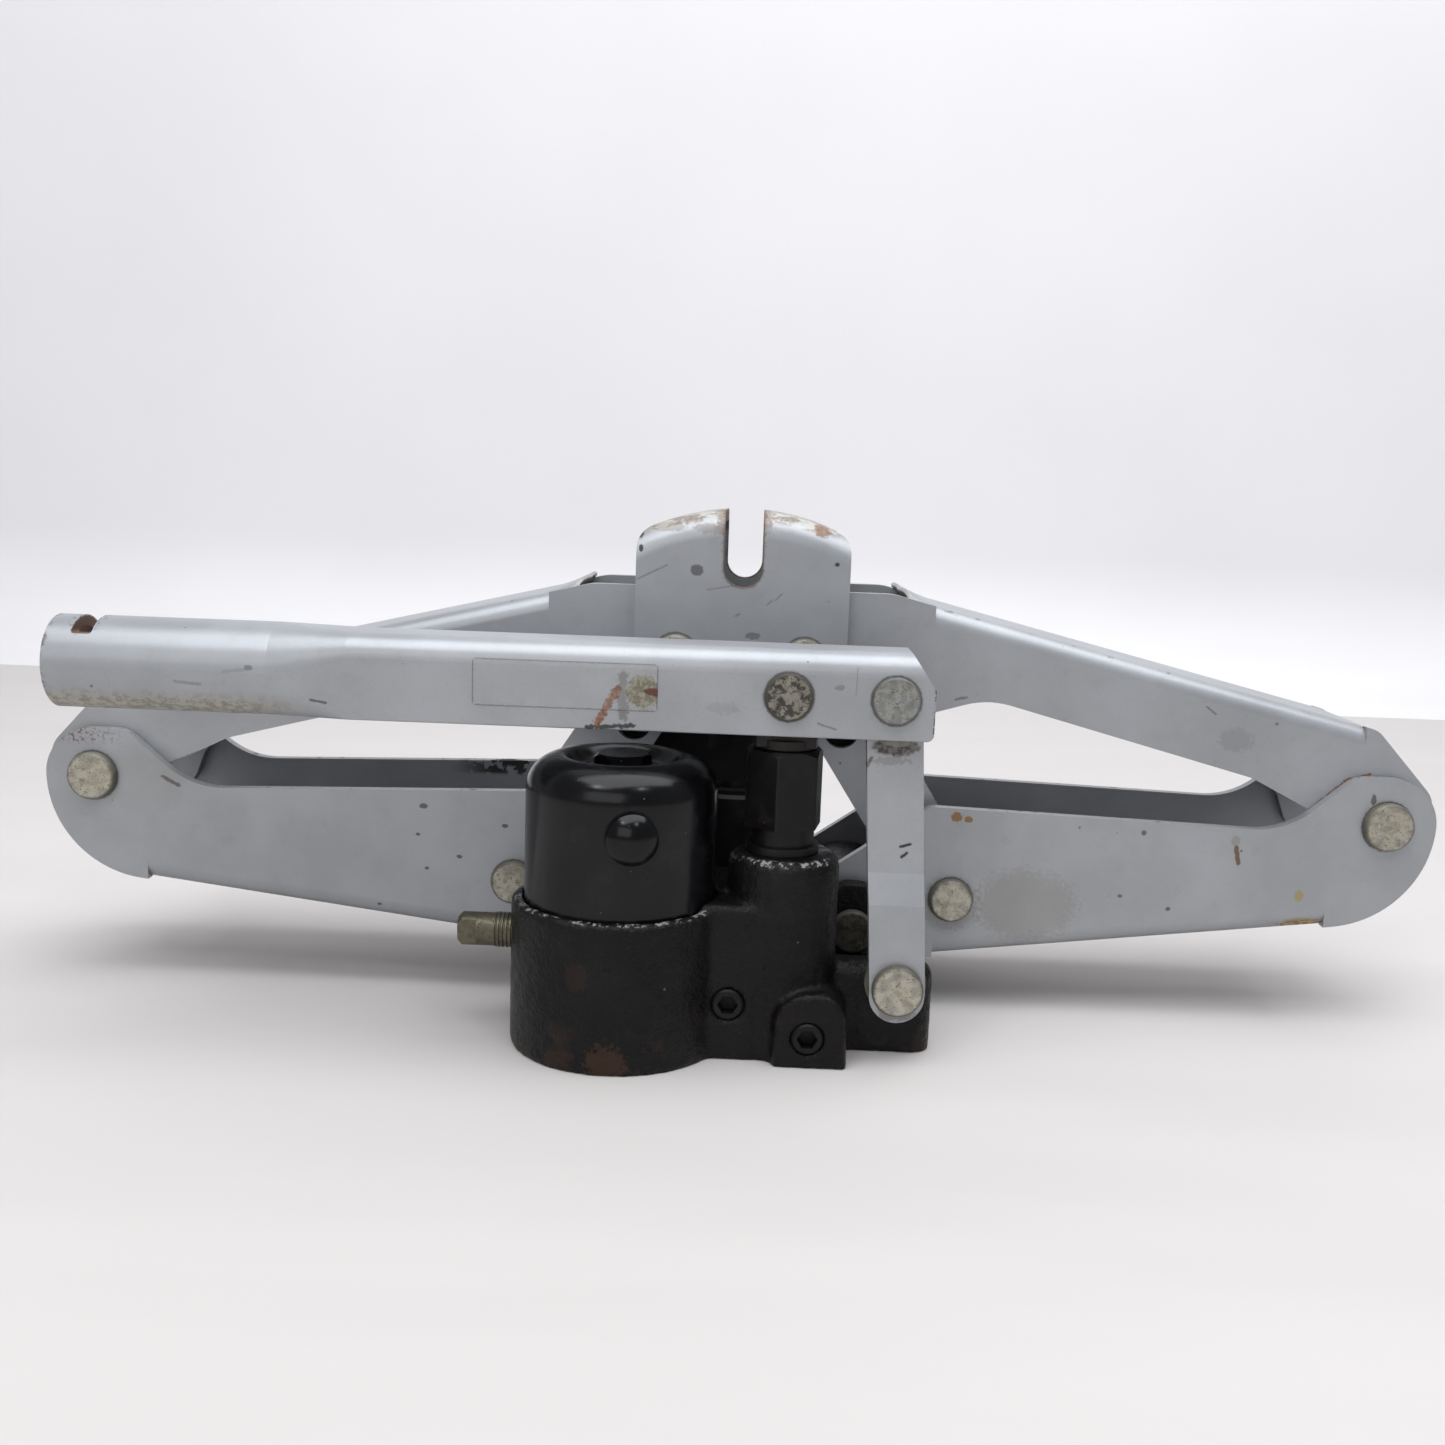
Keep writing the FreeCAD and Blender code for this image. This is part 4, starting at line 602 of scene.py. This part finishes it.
def left_lower_marks(f):
    spots = f.blot(-88.2, 53.0, 1.4, 0.8, 0.6).at_least(f.blot(-89.9, 44.7, 0.7, 0.5, 0.3))
    spots = spots.at_least(f.blot(-87.3, 34.8, 0.7, 0.5, 0.3)).at_least(f.blot(-65.0, 48.1, 1.0, 0.6, 0.5))
    spots = spots.at_least(f.blot(-78.0, 38.6, 0.9, 0.6, 0.9)).at_least(f.blot(-101.0, 23.6, 0.7, 0.5, 0.4))
    bloom = f.blot(-168.0, 57.0, 12.0, 12.0, 0.5) * 0.12
    edge = f.fall(f.x, -188.0, -170.0) * f.step(f.z, 66.5, 68.5) * f.step(f.ragged, 0.50, 0.58)
    flakes = f.step(f.y, 15.0, 18.0) * f.step(f.z, 53.0, 54.5) * f.step(f.x, -92.0, -76.0)
    flakes = flakes * f.step(f.noise(0.14, 4.0, 0.7, shift=33.0), 0.50, 0.54)
    corner = f.streak(-163.0, 58.5, -158.5, 56.2, 0.7, 0.8)
    return [
        (bloom, (0.20, 0.17, 0.12), False),
        (spots * 0.8, (0.06, 0.058, 0.055), False),
        (edge * 0.8, (0.15, 0.07, 0.04), True),
        (flakes * 0.95, SOOT, True),
        (corner * 0.7, BROWN, False),
    ]


def right_upper_marks(f):
    seam = f.streak(162.5, 60.6, 172.5, 70.2, 1.25, 0.8)
    seam = seam.at_least(f.streak(172.0, 69.8, 178.0, 72.2, 0.6, 0.9))
    haze = f.blot(140.1, 80.5, 5.0, 3.5, 0.9) * 0.22
    ticks = f.streak(131.0, 89.6, 133.6, 87.6, 0.35, 0.8).at_least(f.blot(150.8, 85.5, 0.6, 0.5, 0.2))
    ticks = ticks.at_least(f.streak(61.0, 89.0, 64.0, 89.6, 0.5, 1.1))
    return [
        (haze, (0.10, 0.10, 0.10), False),
        (ticks * 0.6, (0.07, 0.07, 0.068), False),
        (seam * 0.92, f.mix(f.ragged, (0.16, 0.06, 0.02), ORANGE), True),
    ]


def left_upper_marks(f):
    grime = f.streak(-164.5, 60.5, -146.0, 68.4, 0.8, 0.7) * 0.6
    dark = f.streak(-158.0, 55.6, -147.0, 67.6, 0.9, 0.9) * 0.6
    return [
        (grime, (0.08, 0.065, 0.05), True),
        (dark, (0.10, 0.06, 0.035), True),
    ]


# ---- Shapes ----------------------------------------------------------------------------------
def new_piece(name, mesh, body, material, smooth=True):
    """A mesh object that rides on a body."""
    piece = bpy.data.objects.new(name, mesh)
    bpy.context.scene.collection.objects.link(piece)
    mesh.materials.clear()
    mesh.materials.append(material)
    for face in mesh.polygons:
        face.use_smooth = smooth
    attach(piece, body)
    return piece


def coat(material, *nodes):
    """Gives CAD nodes a finish."""
    for name in nodes:
        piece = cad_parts[name]
        if not piece.material_slots:
            raise RuntimeError(f"{name} has no material slot")
        for slot in piece.material_slots:
            slot.material = material


def weld(mesh, distance=0.002 * MM):
    """Joins the split corners of a mesh."""
    work = bmesh.new()
    work.from_mesh(mesh)
    bmesh.ops.remove_doubles(work, verts=work.verts, dist=distance)
    bmesh.ops.recalc_face_normals(work, faces=work.faces)
    work.to_mesh(mesh)
    work.free()


def cast_skin():
    """The casting's own skin: corners softened as in a sand mould, then roughened inwards."""
    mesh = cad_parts["base_casting"].data.copy()
    weld(mesh)
    blank = bpy.data.objects.new("casting_blank", mesh)
    bpy.context.scene.collection.objects.link(blank)
    remesh = blank.modifiers.new("grid", "REMESH")
    remesh.mode = "VOXEL"
    remesh.voxel_size = look().cast_grid * MM
    soften = blank.modifiers.new("soften", "SMOOTH")
    soften.factor = 0.5
    soften.iterations = 7
    bpy.context.view_layer.update()
    made = bpy.data.meshes.new_from_object(blank.evaluated_get(bpy.context.evaluated_depsgraph_get()))
    bpy.data.objects.remove(blank)
    depth = look().cast_depth * MM
    moves = []
    for vertex in made.vertices:
        here = vertex.co / MM
        rough = 0.65 * noise.noise(here * 0.33) + 0.35 * noise.noise(here * 0.95)
        moves.append(vertex.normal * (-depth * min(1.0, max(0.0, 0.5 + rough))))
    low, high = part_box("base_casting")
    for vertex, move in zip(made.vertices, moves):
        place = vertex.co + move
        for k in range(3):
            vertex.co[k] = min(high[k], max(low[k], place[k]))
    made.update()
    return made


def lathe(profile, centre, steps=160, wobble=0.0):
    """A closed solid turned about a vertical axis from (radius, height) points in millimetres."""
    work = bmesh.new()
    rings = []
    for radius, height in profile:
        ring = []
        for k in range(steps):
            a = 2 * math.pi * k / steps
            r = radius
            if wobble and radius > 4.0:
                r -= wobble * (0.5 + 0.5 * noise.noise(Vector((math.cos(a), math.sin(a), height / 14)) * 1.6))
            ring.append(work.verts.new(((centre.x + r * math.cos(a)) * MM,
                                        (centre.y + r * math.sin(a)) * MM, height * MM)))
        rings.append(ring)
    for i in range(len(rings)):
        near, far = rings[i], rings[(i + 1) % len(rings)]
        for k in range(steps):
            n = (k + 1) % steps
            work.faces.new((near[k], near[n], far[n], far[k]))
    mesh = bpy.data.meshes.new("turned")
    work.normal_update()
    bmesh.ops.recalc_face_normals(work, faces=work.faces)
    work.to_mesh(mesh)
    work.free()
    return mesh


def tank_profile():
    """Half section of the drawn cup, from its foot over the shoulder into the dish and back inside."""
    radius = (TANK_HIGH.x - TANK_LOW.x) / 2
    foot, top = TANK_LOW.z, TANK_HIGH.z
    shoulder, dish, crest = 9.0, 3.4, radius - 9.6
    outside = [(radius, foot + (top - shoulder - foot) * k / 14) for k in range(15)]
    for k in range(1, 25):
        a = math.radians(90 * k / 24)
        outside.append((radius - shoulder + shoulder * math.cos(a), top - shoulder + shoulder * math.sin(a)))
    for k in range(1, 17):
        t = k / 16
        drop = dish * (3 * t * t - 2 * t * t * t)
        outside.append((crest + 0.4 - 4.6 * t, top - drop))
    outside.append((5.0, top - dish - 0.1))
    outside.append((1.0, top - dish - 0.15))
    wall = 2.0
    inside = [(1.0, top - dish - 0.15 - wall), (crest - 5.5, top - dish - wall), (crest, top - 1.2 - wall),
              (radius - shoulder, top - wall), (radius - wall - 2.0, top - shoulder + 3.0),
              (radius - wall, top - shoulder), (radius - wall, foot)]
    return outside + inside


def web_lip(side):
    """The turned-up end of an upper arm's web, next to the saddle. side is -1 left, 1 right."""
    across, along, thick = 20, 12, 2.0
    half = 19.0
    start, end = 56.5, 44.5
    rise = look().lip_rise
    slope = (117.7 - 84.7) / (179.2 - 42.0)
    work = bmesh.new()
    top, under = [], []
    for i in range(along + 1):
        t = i / along
        x = start + (end - start) * t
        web = 117.7 - (x - 42.0) * slope
        upper, lower = [], []
        for j in range(across + 1):
            y = -half + 2 * half * j / across
            edge = max(0.0, (abs(y) - half + 5.0) / 5.0)
            curl = rise * (t ** 1.7) * (1 - 0.45 * edge * edge) - 1.9 * edge * edge
            x_here = x + 0.25 * t * math.sin(y * 0.35 + side) + 2.2 * t * edge
            z_here = web + 0.05 + curl
            upper.append(work.verts.new((side * x_here * MM, y * MM, z_here * MM)))
            lower.append(work.verts.new((side * x_here * MM, y * MM, (z_here - thick) * MM)))
        top.append(upper)
        under.append(lower)
    for i in range(along):
        for j in range(across):
            work.faces.new((top[i][j], top[i][j + 1], top[i + 1][j + 1], top[i + 1][j]))
            work.faces.new((under[i][j], under[i + 1][j], under[i + 1][j + 1], under[i][j + 1]))
    for j in range(across):
        work.faces.new((top[0][j + 1], top[0][j], under[0][j], under[0][j + 1]))
        work.faces.new((top[along][j], top[along][j + 1], under[along][j + 1], under[along][j]))
    for i in range(along):
        work.faces.new((top[i][0], top[i + 1][0], under[i + 1][0], under[i][0]))
        work.faces.new((top[i + 1][across], top[i][across], under[i][across], under[i + 1][across]))
    bmesh.ops.recalc_face_normals(work, faces=work.faces)
    bmesh.ops.bevel(work, geom=[e for e in work.edges if e.calc_face_angle(0.0) > 0.9],
                    offset=0.5 * MM, segments=2, affect="EDGES")
    mesh = bpy.data.meshes.new("lip")
    work.to_mesh(mesh)
    work.free()
    return mesh


def film_sheet():
    """The sticker as a thin closed film with rounded corners."""
    low, high = span("label")
    corner, steps, thick = 1.1, 6, 0.05
    edge = []
    corners = ((high.x, high.z, 0), (low.x, high.z, 90), (low.x, low.z, 180), (high.x, low.z, 270))
    for cx, cz, start in corners:
        x0 = cx - math.copysign(corner, cx - (low.x + high.x) / 2)
        z0 = cz - math.copysign(corner, cz - (low.z + high.z) / 2)
        for k in range(steps + 1):
            a = math.radians(start + 90 * k / steps)
            edge.append((x0 + corner * math.cos(a), z0 + corner * math.sin(a)))
    work = bmesh.new()
    back = [work.verts.new((x * MM, (low.y - 0.01) * MM, z * MM)) for x, z in edge]
    front = [work.verts.new((x * MM, (low.y - 0.01 - thick) * MM, z * MM)) for x, z in edge]
    work.faces.new(back)
    work.faces.new(front[::-1])
    for k in range(len(edge)):
        n = (k + 1) % len(edge)
        work.faces.new((back[k], front[k], front[n], back[n]))
    bmesh.ops.recalc_face_normals(work, faces=work.faces)
    mesh = bpy.data.meshes.new("film")
    work.to_mesh(mesh)
    work.free()
    return mesh


# ---- User settings -----------------------------------------------------------------------------
class JackLook(bpy.types.PropertyGroup):
    """Colours and sizes of the jack's finish."""

    paint: FloatVectorProperty(name="Paint", description="Aluminium paint of the arms and lever",
                               default=(0.37, 0.383, 0.405), subtype="COLOR", min=0.0, max=1.0)
    paint_metal: FloatProperty(name="Paint metal", description="How metallic the paint looks",
                               default=0.42, min=0.0, max=1.0, subtype="FACTOR")
    paint_rough: FloatProperty(name="Paint roughness", description="Roughness of sound paint",
                               default=0.40, min=0.0, max=1.0, subtype="FACTOR")
    casting: FloatVectorProperty(name="Casting", description="Black of the base casting",
                                 default=(0.0028, 0.0027, 0.0031), subtype="COLOR", min=0.0, max=1.0)
    enamel: FloatVectorProperty(name="Enamel", description="Black of the tank and pump",
                                default=(0.0026, 0.0027, 0.0035), subtype="COLOR", min=0.0, max=1.0)
    zinc: FloatVectorProperty(name="Zinc", description="Colour of the rivet heads",
                              default=(0.47, 0.455, 0.41), subtype="COLOR", min=0.0, max=1.0)
    cast_grid: FloatProperty(name="Casting grid", description="Mesh size of the casting's skin, in mm",
                             default=0.75, min=0.4, max=3.0)
    cast_depth: FloatProperty(name="Casting depth", description="Depth of the sand texture, in mm",
                              default=0.22, min=0.0, max=1.0)
    lip_rise: FloatProperty(name="Lip rise", description="How far the web ends turn up, in mm",
                            default=2.1, min=0.0, max=6.0)
    floor: FloatVectorProperty(name="Floor", description="Colour of the studio floor",
                               default=(0.60, 0.575, 0.56), subtype="COLOR", min=0.0, max=1.0)
    wall: FloatVectorProperty(name="Wall", description="Colour of the backdrop",
                              default=(0.80, 0.79, 0.805), subtype="COLOR", min=0.0, max=1.0)
    light: FloatProperty(name="Light", description="Power of the overhead light",
                         default=26.0, min=0.0, unit="POWER")


# ---- Operators ---------------------------------------------------------------------------------
def done():
    return {"FINISHED"}


class JACK_OT_stage(bpy.types.Operator):
    """Pale floor, backdrop, soft lights and the camera"""

    bl_idname = "jack.stage"
    bl_label = "Stage"

    def execute(self, context):
        self.ground()
        self.backdrop()
        self.lights(context)
        self.camera(context)
        return done()

    def sheet(self, name, corners, tone):
        mesh = bpy.data.meshes.new(name)
        mesh.from_pydata(corners, [], [(k, k + 1, k + 3, k + 2) for k in range(0, len(corners) - 2, 2)])
        piece = bpy.data.objects.new(name, mesh)
        bpy.context.scene.collection.objects.link(piece)
        f = Finish(name, Specular_IOR_Level=0.3)
        soft = f.noise(0.004, 3.0, 0.5, (1.0, 5.0, 1.0))
        f.feed("Base Color", f.mix(f.step(soft, 0.3, 0.7), tuple(0.965 * c for c in tone), tone))
        f.feed("Roughness", 0.5 + 0.15 * soft)
        mesh.materials.append(f.material)
        for face in mesh.polygons:
            face.use_smooth = True

    def ground(self):
        wide, rear = STUDIO_HALF, STUDIO_REAR
        self.sheet("studio_floor", [(-wide, -wide, 0), (wide, -wide, 0), (-wide, rear, 0), (wide, rear, 0)],
                   look().floor)

    def backdrop(self):
        wide, rear, turn = STUDIO_HALF, STUDIO_REAR, STUDIO_TURN
        corners = []
        for k in range(13):
            a = math.radians(90 * k / 12)
            y, z = rear + turn * math.sin(a), turn - turn * math.cos(a)
            corners += [(-wide, y, z), (wide, y, z)]
        corners += [(-wide, rear + turn, STUDIO_HIGH), (wide, rear + turn, STUDIO_HIGH)]
        self.sheet("studio_wall", corners, look().wall)

    def lights(self, context):
        world = bpy.data.worlds.new("studio")
        context.scene.world = world
        world.use_nodes = True
        sky = world.node_tree.nodes["Background"]
        sky.inputs["Color"].default_value = (0.93, 0.95, 1.0, 1.0)
        sky.inputs["Strength"].default_value = 0.27
        panels = [
            ("overhead", (0.10, -0.20, 1.35), (0.0, 0.0, 0.0), 1.9, 1.1, look().light, (0.96, 0.98, 1.0)),
            ("front_fill", (-0.5, -1.7, 0.8), (0.0, 0.0, 0.08), 1.5, 0.9, 6.5, (1.0, 0.98, 0.96)),
            ("left_glint", (-0.55, -0.75, 1.15), (0.0, -0.05, 0.06), 0.16, 0.16, 1.3, (0.92, 0.96, 1.0)),
            ("right_glint", (0.50, -0.80, 1.15), (0.0, -0.05, 0.06), 0.16, 0.16, 1.1, (0.92, 0.96, 1.0)),
        ]
        for name, where, target, wide, deep, power, tone in panels:
            lamp = bpy.data.lights.new(name, "AREA")
            lamp.shape = "RECTANGLE"
            lamp.size, lamp.size_y = wide, deep
            lamp.energy = power
            lamp.color = tone
            holder = bpy.data.objects.new(name, lamp)
            holder.location = where
            holder.rotation_euler = (Vector(target) - Vector(where)).to_track_quat("-Z", "Y").to_euler()
            context.scene.collection.objects.link(holder)

    def camera(self, context):
        yaw, pitch, roll = EYE_YAW, EYE_PITCH, EYE_ROLL
        ahead = Vector((math.sin(yaw) * math.cos(pitch), math.cos(yaw) * math.cos(pitch), -math.sin(pitch)))
        level = Vector((math.cos(yaw), -math.sin(yaw), 0.0))
        above = level.cross(ahead)
        right = level * math.cos(roll) + above * math.sin(roll)
        up = above * math.cos(roll) - level * math.sin(roll)
        lens = bpy.data.cameras.new("camera")
        lens.lens = EYE_LENS
        lens.sensor_width = 36.0
        lens.clip_start = 0.01
        eye = bpy.data.objects.new("camera", lens)
        turn = Matrix((right, up, -ahead)).transposed().to_4x4()
        eye.matrix_world = Matrix.Translation(Vector(EYE_AT) * MM) @ turn
        context.scene.collection.objects.link(eye)
        context.scene.camera = eye
        context.scene.view_settings.view_transform = "Standard"


class JACK_OT_casting(bpy.types.Operator):
    """Soft cornered, rough base casting in black enamel"""

    bl_idname = "jack.casting"
    bl_label = "Base casting"

    def execute(self, context):
        skin = new_piece("casting_skin", cast_skin(), "base", cast_iron("cast_black"))
        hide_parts("base_casting")
        return done()


class JACK_OT_tank(bpy.types.Operator):
    """Drawn oil tank, its bolt and washer, and the filler plug"""

    bl_idname = "jack.tank"
    bl_label = "Oil tank"

    def execute(self, context):
        enamel = gloss_black("tank_enamel")
        cup = new_piece("tank_cup", lathe(tank_profile(), TANK_MID, wobble=0.12), "base", enamel)
        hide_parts("oil_tank")
        coat(enamel, "tank_bolt", "tank_washer")
        coat(gloss_black("stopper_black", 0.2), "filler_plug")
        coat(rubber("seal_rubber"), "tank_seal")
        return done()


class JACK_OT_pump(bpy.types.Operator):
    """Pump gland nut, plunger, packing, valves and closing screws"""

    bl_idname = "jack.pump"
    bl_label = "Hand pump"

    def execute(self, context):
        coat(oily_black("gland_black", 0.36), "pump_barrel")
        coat(machined_steel("plunger_steel", (0.035, 0.034, 0.033), 0.34, 0.2), "plunger")
        coat(rubber("packing_rubber"), "pump_packing")
        coat(oily_black("screw_black", 0.45), "passage_plugs")
        coat(machined_steel("valve_steel"), "suction_ball", "suction_spring")
        return done()


class JACK_OT_arms(bpy.types.Operator):
    """Pressed arms in aluminium paint, with the turned-up ends of their webs"""

    bl_idname = "jack.arms"
    bl_label = "Arms"

    def execute(self, context):
        for hand, marks in (("right", right_lower_marks), ("left", left_lower_marks)):
            pins = (f"elbow_pin_{hand}", f"lift_pin_{hand}")
            coat(silver_paint(f"lower_{hand}_paint", ARM_FRONT, marks, LOWER_FACE, pins), f"lower_arm_{hand}")
        for hand, marks in (("right", right_upper_marks), ("left", left_upper_marks)):
            coat(silver_paint(f"upper_{hand}_paint", ARM_FRONT, marks, UPPER_FACE), f"upper_arm_{hand}")
        worn = silver_paint("lip_paint", MARKED_ALL_OVER, self.lip_marks)
        for side, hand in ((-1, "left"), (1, "right")):
            lip = new_piece(f"web_lip_{hand}", web_lip(side), f"upper_arm_{hand}", worn)
        return done()

    @staticmethod
    def lip_marks(f):
        end = f.fall(abs(f.x) + (f.ragged - 0.5) * 2.0, 46.0, 50.0)
        return [(end * 0.30, f.mix(f.ragged, (0.30, 0.27, 0.21), (0.48, 0.45, 0.38)), True)]


class JACK_OT_saddle(bpy.types.Operator):
    """Saddle with its worn, rusty crown and slot"""

    bl_idname = "jack.saddle"
    bl_label = "Saddle"

    def execute(self, context):
        pins = ("saddle_pin_left", "saddle_pin_right")
        coat(silver_paint("saddle_paint", ARM_FRONT, saddle_marks, pins=pins), "saddle")
        return done()


class JACK_OT_lever(bpy.types.Operator):
    """Pump lever with its sticker and marks"""

    bl_idname = "jack.lever"
    bl_label = "Lever"

    def execute(self, context):
        pins = ("lever_pump_pin", "lever_link_pin")
        coat(silver_paint("lever_paint", LEVER_FRONT, lever_marks, pins=pins), "lever")
        film = new_piece("sticker", film_sheet(), "lever", clear_film("sticker_film"), smooth=False)
        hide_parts("label")
        return done()


class JACK_OT_link(bpy.types.Operator):
    """Pump link with the rubbed patch under the lever"""

    bl_idname = "jack.link"
    bl_label = "Pump link"

    def execute(self, context):
        coat(silver_paint("link_paint", LINK_FRONT, link_marks), "pump_link")
        return done()


class JACK_OT_ram(bpy.types.Operator):
    """Ram, crosshead and lifting links"""

    bl_idname = "jack.ram"
    bl_label = "Lifting ram"

    def execute(self, context):
        coat(oily_black("ram_black", 0.40), "ram_cylinder", "ram_gland")
        coat(machined_steel("rod_steel", (0.060, 0.058, 0.056), 0.28, 0.3), "ram_rod")
        coat(oily_black("crosshead_black", 0.42), "crosshead", "crosshead_ring", "crosshead_pins")
        coat(rubber("wiper_rubber"), "rod_wiper", "piston_seal")
        paint = silver_paint("lift_link_paint", NO_MARKS)
        for hand in ("left", "right"):
            coat(paint, f"lift_link_front_{hand}", f"lift_link_rear_{hand}")
            coat(machined_steel(f"spacer_steel_{hand}"), f"lift_spacers_{hand}")
        return done()


class JACK_OT_pins(bpy.types.Operator):
    """Zinc plated rivets and pins"""

    bl_idname = "jack.pins"
    bl_label = "Pins"

    def execute(self, context):
        tone = tuple(look().zinc)
        worn = tuple(0.62 * c for c in tone)
        for kind, grime in (("elbow_pin", 0.35), ("lift_pin", 0.45), ("saddle_pin", 0.4)):
            for hand in ("left", "right"):
                self.head(f"{kind}_{hand}", tone, grime)
        self.head("base_pin_left", tone, 0.5)
        self.head("base_pin_right", tuple(0.28 * c for c in tone), 0.5, 0.7)
        self.head("link_base_pin", tone, 0.5)
        self.head("lever_link_pin", (0.34, 0.35, 0.355), 0.25)
        self.head("lever_pump_pin", worn, 0.9, 0.9)
        return done()

    def head(self, node, tone, grime, patches=0.25):
        low, high = span(node)
        centre = (low + high) / 2
        radius = (high.z - low.z) / 2
        if node == "link_base_pin":
            radius = FOOT_HEAD_R
        coat(zinc(f"{node}_zinc", centre.x, centre.z, radius, tone, grime, patches=patches), node)


class JACK_OT_release(bpy.types.Operator):
    """Release valve screw and its ball"""

    bl_idname = "jack.release"
    bl_label = "Release screw"

    def execute(self, context):
        metal = zinc("release_zinc", RELEASE_Y, RELEASE_Z, RELEASE_R, (0.14, 0.13, 0.098), 0.8, "side")
        coat(metal, "release_screw")
        coat(machined_steel("ball_steel"), "release_ball")
        return done()


class JACK_PT_panel(bpy.types.Panel):
    """Lists the jack's pieces"""

    bl_idname = "JACK_PT_panel"
    bl_label = "Scissor jack"
    bl_space_type = "VIEW_3D"
    bl_region_type = "UI"
    bl_category = "Jack"

    def draw(self, context):
        for field in JackLook.__annotations__:
            self.layout.prop(context.scene.jack_look, field)
        for step in STEPS:
            self.layout.operator(step.bl_idname)


STEPS = (JACK_OT_stage, JACK_OT_casting, JACK_OT_tank, JACK_OT_pump, JACK_OT_arms, JACK_OT_saddle,
         JACK_OT_lever, JACK_OT_link, JACK_OT_ram, JACK_OT_pins, JACK_OT_release)
CLASSES = (JackLook, *STEPS, JACK_PT_panel)


def register():
    for kind in CLASSES:
        bpy.utils.register_class(kind)
    bpy.types.Scene.jack_look = PointerProperty(type=JackLook)


def unregister():
    del bpy.types.Scene.jack_look
    for kind in reversed(CLASSES):
        bpy.utils.unregister_class(kind)


def main():
    register()
    for step in STEPS:
        group, name = step.bl_idname.split(".")
        getattr(getattr(bpy.ops, group), name)()


if __name__ == "__main__":
    main()
